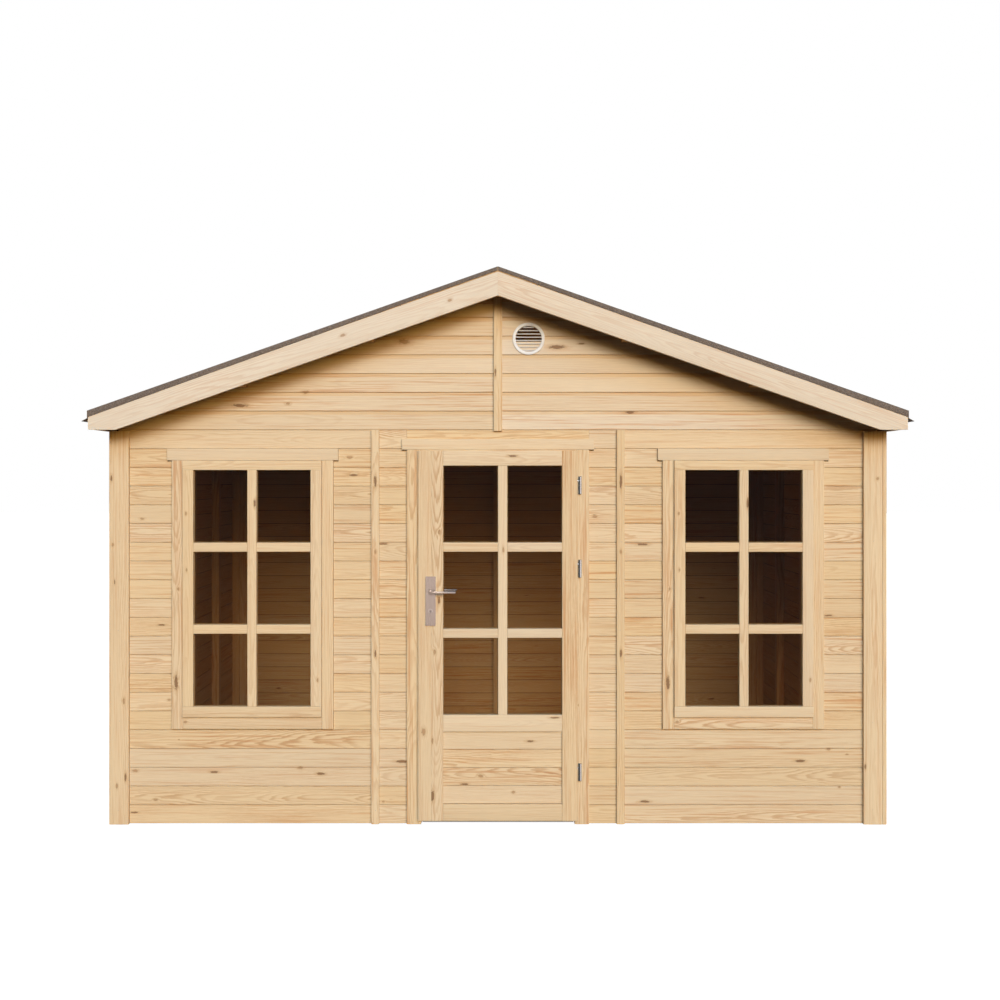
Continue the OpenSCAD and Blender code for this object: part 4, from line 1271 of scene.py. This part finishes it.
def make_fittings():
    """Collars round the lever's necks, a painted shadow in each keyway, plate screws, the
    lock's face and its strike.
    """
    low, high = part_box("handle_plates")
    lever_low, lever_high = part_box("door_lever")
    core_low, core_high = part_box("lock_cylinder")
    leaf_low, leaf_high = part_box("door_leaf")
    lever_x = (low.x + high.x) / 2
    lever_z = (lever_low.z + lever_high.z) / 2
    core_x = (core_low.x + core_high.x) / 2
    core_z = core_high.z - (core_high.x - core_low.x) / 2
    neck = lever_x - corners("door_lever")[0][:, 0].min()
    collar = [(neck + 0.0004, -0.001), (neck + 0.0042, -0.001), (neck + 0.0042, 0.0012),
              (neck + 0.0034, 0.0022), (neck + 0.0004, 0.0022)]
    rim = [(0.0086, -0.0005), (0.0095, -0.0005), (0.0095, 0.0008), (0.0086, 0.0008)]
    screw = [(EYE, SUNK), (0.0042, SUNK), (0.0042, 0.0004), (0.0034, 0.0012), (0.0012, 0.0016),
             (0.0012, 0.0006), (EYE, 0.0006)]
    collars, screws, keyway_shadows, rims = Skins(), Skins(), Skins(), Skins()
    for face, out, core_face in ((low.y, -1, core_low.y), (high.y, 1, core_high.y)):
        collars.hoop(collar, (lever_x, face, lever_z), (0, out, 0))
        # painted shadow: a near-black disc and slot, just proud of the cylinder, stand for the dark
        # hole of the keyway
        keyway_shadows.turned(rod(0.0022, SUNK, 0.0002, 0.0002), (core_x, core_face, core_z),
                       (0, out, 0), 20)
        keyway_shadows.prism(rounded(0.0016, 0.0085, 0.0007, 2) + [0, -0.0045] + [core_x, core_z], "y",
                      (core_face + out * SUNK, core_face + out * 0.00025))
        rims.hoop(rim, (core_x, face, core_z), (0, out, 0), 32)
    for z in (low.z + 0.014, high.z - 0.014):
        screws.turned(screw, (lever_x, high.y, z), (0, 1, 0), 24)
    collars.piece("lever_collars", STEEL, "door", "satin_steel")
    screws.piece("plate_screws", ZINC, "door", "satin_steel")
    keyway_shadows.piece("keyway_shadows", SHADOW, "door", "satin_steel")
    rims.piece("lock_rims", NICKEL, "door", "satin_steel")
    lip = 0.015
    middle_y = (leaf_low.y + lip + leaf_high.y) / 2
    middle_z = (low.z + high.z) / 2
    half_size = np.array([0.009, 0.1175])
    outline = rounded(*(half_size * 2), 0.009, 5)
    for name, x, way, body in (("lock_face", levels("door_leaf", "x")[1], -1, "door"),
                               ("strike", levels("door_frame", "x")[2], 1, "house")):
        skins = Skins()
        rings = []
        for d, inset in ((-0.001, 0.0), (0.0007, 0.0), (0.001, 0.0004)):
            drawn = outline * (1 - inset / half_size)
            rings.append(np.stack([np.full(len(outline), x + way * d),
                                   middle_y + drawn[:, 0], middle_z + drawn[:, 1]], 1))
        skins.rings(np.array(rings))
        skins.piece(name, STEEL, body, "satin_steel")


def make_levers():
    """On each side a round neck out of the plate and a flat grip with softened ends."""
    low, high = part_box("door_lever")
    plate_low, plate_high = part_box("handle_plates")
    x = (plate_low.x + plate_high.x) / 2
    z = (low.z + high.z) / 2
    tip_x = high.x - x
    neck = 0.0078
    skins = Skins()
    grip = rounded(0.017, 0.0095, 0.0016, 3)
    # places along the grip, and how full its section is there
    stations = [(-0.0078, 0.55), (-0.0070, 0.9), (-0.0055, 1.0), (0.02, 1.0),
                (tip_x - 0.0015, 1.0), (tip_x - 0.0004, 0.93), (tip_x, 0.8)]
    for face, tip, out in ((plate_low.y, low.y, -1), (plate_high.y, high.y, 1)):
        reach = abs(tip - face)
        skins.turned([(EYE, -0.004), (neck, -0.004), (neck, reach - 0.008),
                      (neck - 0.001, reach - 0.004), (EYE, reach - 0.0035)],
                     (x, face, z), (0, out, 0))
        rings = [np.stack([np.full(len(grip), x + along), tip - out * 0.009 + grip[:, 0] * scale,
                           z - 0.0025 + grip[:, 1] * scale], 1) for along, scale in stations]
        skins.rings(np.array(rings))
    skins.turned(rod(0.0042, 0.0, plate_high.y - plate_low.y), (x, plate_low.y, z), (0, 1, 0), 16)
    skins.piece("lever_grips", LIGHT_STEEL, "lever", "satin_steel", "door_lever")


def make_hinges():
    """Screw-in hinges: two half barrels with domed ends, their stems and near-black strips of
    painted shadow beside them, for the dark gap between barrel and leaf.
    """
    frame_face = levels("door_frame", "y")[0]
    leaf_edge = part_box("door_leaf")[1].x
    radius = 0.0048
    cap_reach = 0.0065
    stem = 0.003
    bite = 0.012
    lower, upper = Skins(), Skins()
    plates = {"house": Skins(), "door": Skins()}
    for cap in solids("hinge_caps"):
        x = cap[:, 0].max() - cap_reach
        y = (cap[:, 1].min() + cap[:, 1].max()) / 2
        foot, top = cap[:, 2].min(), cap[:, 2].max()
        half = top - foot
        dome = [(radius, half - 0.002), (radius * 0.8, half - 0.0007), (radius * 0.3, half),
                (EYE, half)]
        for skins, gap, up in ((upper, 0.0004, 1), (lower, 0.0002, -1)):
            skins.turned([(EYE, gap), (radius, gap)] + dome, (x, y, foot), (0, 0, up), 24)
        upper.turned(rod(stem, 0, x - leaf_edge + bite), (x, y + 0.001, foot + half / 2),
                     (-1, 0, 0), 14)
        lower.turned(rod(stem, 0, frame_face - y + bite), (x, y, foot - half / 2), (0, 1, 0), 14)
        # painted shadow: a near-black strip beside each barrel stands for the dark gap by the
        # leaf's edge
        outline = rounded(0.0058, 0.004, 0.0008, 2) + [x - radius - 0.0026, y - 0.001]
        plates["door"].prism(outline, "z", (foot + 0.0004, top - 0.001))
        plates["house"].prism(outline, "z", (foot - half + 0.001, foot - 0.0004))
    upper.piece("hinge_barrels_door", NICKEL, "door", "satin_steel", "hinge_caps")
    lower.piece("hinge_barrels_frame", NICKEL, "house", "satin_steel", "hinge_pins")
    plates["door"].piece("hinge_shadow_strips_door", SHADOW, "door", "satin_steel")
    plates["house"].piece("hinge_shadow_strips_frame", SHADOW, "house", "satin_steel")


def make_vent():
    """A moulded ring with a spigot, and thin blades that slope down and out across its mouth.

    A blade at height h reaches sqrt(mouth^2 - h^2) to each side, and a little into the ring."""
    low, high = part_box("gable_vent")
    x, z = (low.x + high.x) / 2, (low.z + high.z) / 2
    outer = (high.x - low.x) / 2
    flange = 0.015
    mouth = outer - flange
    spigot = mouth + 0.0022
    back = 0.001 - board_t
    turn = np.linspace(0, math.pi / 2, 5)
    lip = [(outer - 0.003 + 0.003 * math.cos(t), 0.003 + 0.003 * math.sin(t)) for t in turn]
    inner = [(mouth + 0.0025 - 0.0025 * math.sin(t), 0.0035 + 0.0025 * math.cos(t)) for t in turn]
    skins = Skins()
    skins.hoop([(outer, 0.0002)] + lip + inner + [(mouth, back), (spigot, back), (spigot, 0.0002)],
               (x, -half_d, z), (0, -1, 0), 72)
    blades = 8
    margin = 0.003
    blade = rounded(0.0115, 0.0015, 0.0006, 2)
    tilt = math.radians(30)
    out = blade[:, 0] * math.cos(tilt) - blade[:, 1] * math.sin(tilt)
    rise = -blade[:, 0] * math.sin(tilt) - blade[:, 1] * math.cos(tilt)
    for i in range(blades):
        height = (i + 0.5) * 2 * mouth / blades - mouth
        if abs(height) + margin < mouth:
            reach = math.sqrt(mouth ** 2 - (abs(height) + margin) ** 2) + 0.0008
            skins.prism(np.stack([-half_d - 0.001 - out, z + height + rise], 1), "x",
                        (x - reach, x + reach))
    skins.piece("vent_grille", PLASTIC, "house", "vent_plastic", "gable_vent")


def make_nails():
    """Small lost heads where the cover strips and corner boards are nailed on."""
    head = [(0.0002, -0.001), (0.0011, -0.001), (0.0012, 0.0001), (0.0008, 0.0003),
            (0.0002, 0.0004)]
    spacing = 0.42
    skins = Skins()
    for node in ("cover_strips_front", "cover_strips_back", "corner_boards_front",
                 "corner_boards_back", "cover_strips_sides"):
        for points in solids(node):
            low, high = points.min(axis=0), points.max(axis=0)
            middle = (low + high) / 2
            face = AXES[outer_face(points)[1]]
            sign = np.sign(middle[face])
            for z in np.arange(low[2] + 0.06, high[2] - 0.02, spacing):
                spot = middle.copy()
                spot[face] = (high if sign > 0 else low)[face]
                spot[1 - face] += chance.uniform(-0.004, 0.004)
                spot[2] = z + chance.uniform(-0.01, 0.01)
                skins.turned(head, spot, sign * UNIT[face], 10)
    skins.piece("trim_nails", ZINC, "house", "satin_steel")


make_walls()
make_gables()
make_floor()
make_framing()
make_trim()
make_roof_boards()
make_barge_boards()
make_window("left")
make_window("right")
make_door_frame()
make_door_leaf()
plain(GLASS, "glass", "window_glass_left", "window_glass_right", "door_glass")
plain(STEEL, "satin_steel", "handle_plates", edge=0.0006)
plain(STEEL, "satin_steel", "lock_cylinder", edge=0.0009)
make_felt()
make_fittings()
make_levers()
make_hinges()
make_vent()
make_nails()


# ---- light, floor and camera ----


def placed(name, data):
    """Puts a lamp or a camera into the scene."""
    thing = bpy.data.objects.new(name, data)
    bpy.context.scene.collection.objects.link(thing)
    return thing


def lamp(name, azimuth, elevation, spread, light_on_front, mirrored=True):
    """A far, soft lamp. The light on the front is what each colour adds to a white front face.
    A low lamp is kept out of reflections, or its disc would stand in the panes."""
    a, e = math.radians(azimuth), math.radians(elevation)
    towards = np.array([math.sin(a) * math.cos(e), -math.cos(a) * math.cos(e), math.sin(e)])
    data = bpy.data.lights.new(name, "SUN")
    data.angle = math.radians(spread)
    data.energy = math.pi * max(light_on_front) / abs(towards[1])
    data.color = [c / max(light_on_front) for c in light_on_front]
    data.cycles.max_bounces = 1
    light = placed(name, data)
    light.visible_glossy = mirrored
    light.rotation_euler = Vector(-towards).to_track_quat("-Z", "Y").to_euler()


# The front three add up to a neutral light. Where the roof cuts off one or two of them, the
# rest colour the edge of its shadow.
lamp("key_light", 1.0, 16.5, 16.4, (0.390, 0.440, 0.460))
lamp("low_light", 20.0, 8.9, 28.4, (0.445, 0.275, 0.065), False)
lamp("high_light", 20.7, 28.0, 39.0, (0.150, 0.275, 0.455))
lamp("rear_left", 215, 28, 25, (0.5, 0.5, 0.5))
lamp("rear_right", 145, 28, 25, (0.35, 0.35, 0.35))


def room_lamp():
    """A weak warm lamp low inside the front wall, unseen itself, for the room behind the panes."""
    data = bpy.data.lights.new("room_light", "AREA")
    data.shape = "RECTANGLE"
    data.size = 3.2
    data.size_y = 0.2
    data.spread = math.radians(100)
    data.energy = 10.6
    data.color = (1.0, 0.69, 0.38)
    data.cycles.max_bounces = 1
    light = placed("room_light", data)
    light.location = (0.1, -half_d + 0.15, 0.3)
    light.rotation_euler = (math.radians(64), 0, 0)
    light.visible_camera = False
    light.visible_glossy = False
    light.visible_transmission = False


def make_world(ambient):
    """White where it is seen, and nearly dark as a light."""
    f = Finish("studio", "worlds")
    dim = f.node("ShaderNodeBackground", {"Color": (*ambient, 1)})
    back = f.node("ShaderNodeBackground", {"Color": (1, 1, 1, 1)})
    mixed = f.node("ShaderNodeMixShader", {0: f.seen(), 1: dim, 2: back})
    f.node("ShaderNodeOutputWorld", {"Surface": mixed})
    bpy.context.scene.world = f.block


def make_ground():
    """A level floor: white to the camera apart from a soft shadow, dull to bounced light."""
    f = Finish("studio_floor")
    x, y, z = f.split(f.place())
    far = f.step((x * x + y * y).root(), 3.0, 11.0, 0.9, 1.0)
    glow = f.node("ShaderNodeEmission", {"Color": (1, 1, 1, 1), "Strength": far})
    pale = f.node("ShaderNodeBsdfDiffuse", {"Color": (0.5, 0.5, 0.5, 1)})
    both = f.node("ShaderNodeAddShader", {0: glow, 1: pale})
    dull = f.node("ShaderNodeBsdfDiffuse", {"Color": (0.07, 0.05, 0.03, 1)})
    mixed = f.node("ShaderNodeMixShader", {0: f.seen(), 1: dull, 2: both})
    f.node("ShaderNodeOutputMaterial", {"Surface": mixed})
    reach = 60.0
    mesh = bpy.data.meshes.new("studio_floor")
    mesh.from_pydata([(x, y, 0) for y in (-reach, reach) for x in (-reach, reach)], [],
                     [(0, 1, 3, 2)])
    mesh.materials.append(f.block)
    ground = placed("studio_floor", mesh)
    ground.location.z = -0.0006


room_lamp()
make_world((0.012, 0.007, 0.003))
make_ground()

camera_data = bpy.data.cameras.new("camera")
camera_data.lens = 50
camera_data.sensor_width = 36
camera_data.shift_x = 0.0021
camera_data.shift_y = -0.020
camera_data.clip_end = 200
camera = placed("camera", camera_data)
camera.location = (0, -7.9575, 1.613)
camera.rotation_euler = (math.pi / 2, 0, 0)
bpy.context.scene.camera = camera
bpy.context.scene.view_settings.view_transform = "Standard"
